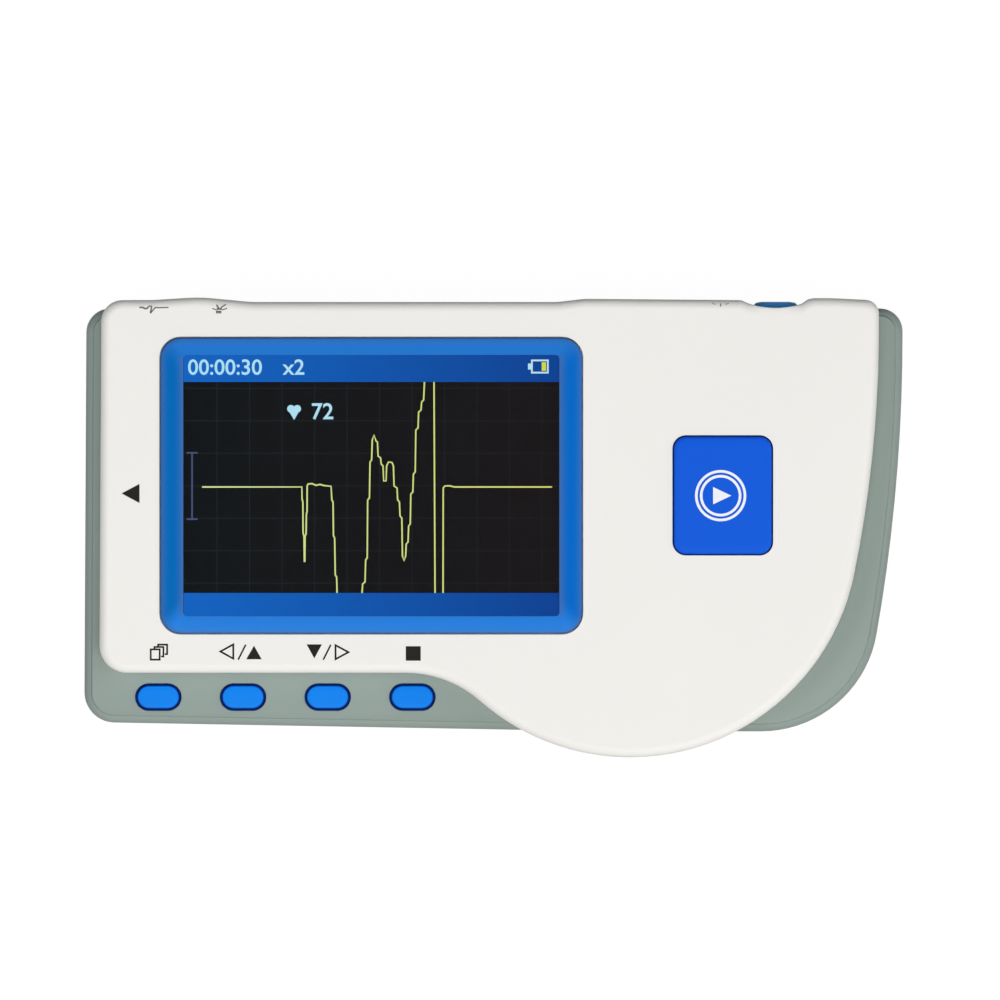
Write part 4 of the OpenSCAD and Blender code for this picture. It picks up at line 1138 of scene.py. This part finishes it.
@dataclass
class BatteryBay(Assembly):
    """Batteries with printed sleeves, springs and contact plates."""

    band: Point = (2.0, 11.5)
    bare_end: float = 1.2
    plus_from: float = 6.8
    plus_size: tuple[float, float, float] = (2.6, 0.6, 0.06)
    proud: float = 0.06

    def build(self) -> None:
        """Build the whole sub-assembly."""
        self.dress_cell("upper_battery", 1)
        self.dress_cell("lower_battery", -1)
        self.refine("battery_springs", "contact_springs", SPRING_STEEL, "steel", angle=66.0)
        self.paint({"battery_plates": STEEL})

    def dress_cell(self, node: str, way: int) -> None:
        """Paint a battery's steel can and put its printed sleeve round it.

        Args:
            node: The battery's CAD node.
            way: 1 where its button points to -X, -1 where it points to +X.
        """
        self.paint({node: STEEL})
        low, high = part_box(node)
        radius = (high.y - low.y) / 2
        middle = Vector((0, (low.y + high.y) / 2, (low.z + high.z) / 2))
        length = high.x - low.x
        button_end = low.x if way > 0 else high.x
        spans = ((*self.band, CELL_BAND, "band"),
                 (self.band[1], length / MM - self.bare_end, CELL_SLEEVE, "sleeve"))
        for start, end, finish, label in spans:
            BENCH.clear()
            bpy.ops.mesh.primitive_cylinder_add(
                vertices=64, radius=radius + self.proud * MM, depth=(end - start) * MM, end_fill_type="NOTHING",
                location=(button_end + way * (start + end) / 2 * MM, middle.y, middle.z),
                rotation=(0, math.pi / 2, 0))
            tube = BENCH.settle(bpy.context.object)
            BENCH.apply(tube, "SOLIDIFY", thickness=self.proud * 0.9 * MM, offset=-1)
            BENCH.smooth(tube, 40)
            self.place(tube, f"{node}_{label}", finish, None, "battery")
        self.polarity(node, button_end + way * self.plus_from * MM, middle, radius)

    def polarity(self, node: str, x: float, middle: Vector, radius: float) -> None:
        """Put a plus sign near the battery's button end, where the open bay shows it."""
        z = middle.z - radius - self.proud * MM
        plus, other = (BENCH.block((x, middle.y, z), self.plus_size, turn) for turn in (0, 90))
        BENCH.combine(plus, other, "UNION")
        BENCH.apply(plus, "BEVEL", width=0.015 * MM, segments=1)
        self.place(plus, f"{node}_plus", BLACK_INK, None, "battery")


# ---------------------------------------------------------------- electrodes and electronics


@dataclass
class Electrodes(Assembly):
    """Bare metal electrodes and their pins."""

    def build(self) -> None:
        """Build the whole sub-assembly."""
        self.refine("chest_electrode", "end_electrode", ELECTRODE_Y, "electrode")
        self.refine("palm_electrode", "back_electrode", ELECTRODE_X, "electrode")
        self.refine("finger_electrode", "finger_dish_electrode", ELECTRODE_X, "electrode", angle=20.0)
        self.paint({"electrode_pins": GOLD})


@dataclass
class Electronics(Assembly):
    """Boards, cables, socket, buzzer and board screws."""

    contacts: int = 5
    contact_pitch: float = 1.0
    contact_size: tuple[float, float, float] = (0.45, 2.4, 0.06)
    contact_inset: float = 2.2
    contact_lift: float = 0.41

    def build(self) -> None:
        """Build the whole sub-assembly."""
        self.paint({"main_board": SOLDER_MASK, "key_board": SOLDER_MASK, "board_chips": BLACK_PART,
                    "board_screws": STEEL, "display_cable": CABLE_AMBER, "key_cable": CABLE_AMBER,
                    "buzzer": BLACK_PART, "lead_socket": STEEL})
        self.fill_socket()

    def fill_socket(self) -> None:
        """Lay gold contacts on the lead socket's tongue."""
        low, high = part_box("lead_socket")
        x, z = (low.x + high.x) / 2, (low.z + high.z) / 2
        y, z = high.y - self.contact_inset * MM, z + self.contact_lift * MM
        strips = []
        for k in range(self.contacts):
            off = (k - (self.contacts - 1) / 2) * self.contact_pitch * MM
            strips.append(BENCH.block((x + off, y, z), self.contact_size))
            BENCH.apply(strips[-1], "BEVEL", width=0.02 * MM, segments=2)
        self.place(BENCH.join("socket_contacts", strips), "socket_contacts", GOLD, None, "gold")


# ---------------------------------------------------------------- studio


@dataclass
class Studio:
    """Pale floor, soft lights and the camera straight above, as the photograph's."""

    frame_width: float = 158.73
    face: float = 23.6
    lens: float = 1500.0
    look_at: Point = (1.03, 4.36)
    reach: float = 0.95
    floor_albedo: float = 0.06
    floor_glow: float = 0.97
    floor_size: float = 8.0
    floor_drop: float = 0.05
    sensor: float = 36.0
    bright_side: tuple[float, float, float] = (0.4, -0.86, -0.32)
    room_dim: Colour = (0.05, 0.05, 0.053)
    room_bright: Colour = (0.52, 0.515, 0.5)
    room_below: Colour = (0.72, 0.715, 0.7)
    backdrop: Colour = (1.05, 1.05, 1.05)

    def build(self) -> None:
        """Build floor, lights, world and camera."""
        self.lay_floor()
        self.light()
        self.fill_world()
        self.set_camera()

    def lay_floor(self) -> None:
        """Lay a large pale floor that isn't part of the object and is clear from below."""
        BENCH.clear()
        bpy.ops.mesh.primitive_plane_add(size=self.floor_size, location=(0, 0, -self.floor_drop * MM))
        floor = bpy.context.object
        floor.name = "studio_floor"
        made = bpy.data.materials.new("studio_floor_paint")
        made.use_nodes = True
        tree = made.node_tree
        shader = feed(tree.nodes["Principled BSDF"], {
            "Base Color": (self.floor_albedo,) * 3, "Roughness": 0.9, "Specular IOR Level": 0.0,
            "Emission Color": WHITE, "Emission Strength": self.floor_glow})
        below = add(tree, "NewGeometry").outputs["Backfacing"]
        either = add(tree, "MixShader", {0: below, 1: shader.outputs[0], 2: add(tree, "BsdfTransparent").outputs[0]})
        feed(tree.nodes["Material Output"], {"Surface": either.outputs[0]})
        floor.data.materials.append(made)
        floor.visible_diffuse = False
        floor.visible_glossy = False

    def softbox(self, name: str, azimuth: float, height: float, size: float, power: float, tint: Colour) -> None:
        """Hang a square soft light that points at the object.

        Args:
            name: Name of the light.
            azimuth: Side it stands on in degrees, 0 at -Y and 90 at +X.
            height: Elevation in degrees.
            size: Its edge in metres.
            power: Its power in watts.
            tint: Its colour.
        """
        turn, lift = math.radians(azimuth), math.radians(height)
        away = Vector((math.sin(turn) * math.cos(lift), -math.cos(turn) * math.cos(lift), math.sin(lift)))
        bpy.ops.object.light_add(type="AREA", location=away * self.reach)
        lamp = bpy.context.object
        lamp.name = name
        lamp.data.shape = "SQUARE"
        lamp.data.size = size
        lamp.data.energy = power
        lamp.data.color = tint
        lamp.rotation_mode = "QUATERNION"
        lamp.rotation_quaternion = away.to_track_quat("Z", "Y")

    def light(self) -> None:
        """Hang the soft lights: the main one towards the foot of the photograph."""
        self.softbox("key_light", 10.0, 69.0, 0.6, 4.2, (1.0, 0.985, 0.96))
        self.softbox("right_light", 92.0, 36.0, 0.6, 2.8, WHITE)
        self.softbox("left_light", -84.0, 52.0, 0.5, 3.0, WHITE)
        self.softbox("back_light", 176.0, 30.0, 0.4, 0.3, (0.96, 0.98, 1.0))

    def fill_world(self) -> None:
        """Fill the room with soft light, brighter towards the foot and right, and white behind the floor."""
        world = bpy.data.worlds.new("studio_room")
        bpy.context.scene.world = world
        world.use_nodes = True
        tree = world.node_tree
        place = add(tree, "TexCoord").outputs["Generated"]
        towards = Vector(self.bright_side).normalized()
        side = add(tree, "VectorMath", {0: place, 1: towards}, operation="DOT_PRODUCT").outputs["Value"]
        share = add_range(tree, side, given=(-0.55, 0.9), kind="SMOOTHSTEP")
        room = add_mix(tree, share, self.room_dim, self.room_bright)
        below = add_range(tree, add_parts(tree, "Generated")["Z"], given=(0.0, -0.45))
        seen = add(tree, "LightPath").outputs
        gloss = add_math(tree, "MULTIPLY_ADD", seen["Is Glossy Ray"], 0.8, 0.2)
        room = add_mix(tree, add_math(tree, "MULTIPLY", below, gloss), room, self.room_below)
        feed(tree.nodes["Background"], {"Color": add_mix(tree, seen["Is Camera Ray"], room, self.backdrop)})

    def set_camera(self) -> None:
        """Set the long-lens camera straight above the object."""
        distance = self.lens / self.sensor * self.frame_width
        place = [c * MM for c in (*self.look_at, distance + self.face)]
        bpy.ops.object.camera_add(location=place, rotation=(0, 0, 0))
        camera = bpy.context.object
        camera.data.lens = self.lens
        camera.data.sensor_width = self.sensor
        camera.data.clip_start, camera.data.clip_end = 0.05, 20.0
        scene = bpy.context.scene
        scene.camera = camera
        scene.view_settings.view_transform = "Standard"
        scene.view_settings.look = "None"


def main() -> None:
    """Build every sub-assembly in order, then the studio."""
    logging.basicConfig(level=logging.INFO, format="%(name)s %(message)s")
    for maker in (Housing(), ScreenUnit(), Controls(), BatteryBay(), Electrodes(), Electronics()):
        log.info("building %s", type(maker).__name__)
        maker.build()
    Studio().build()


if __name__ == "__main__":
    main()
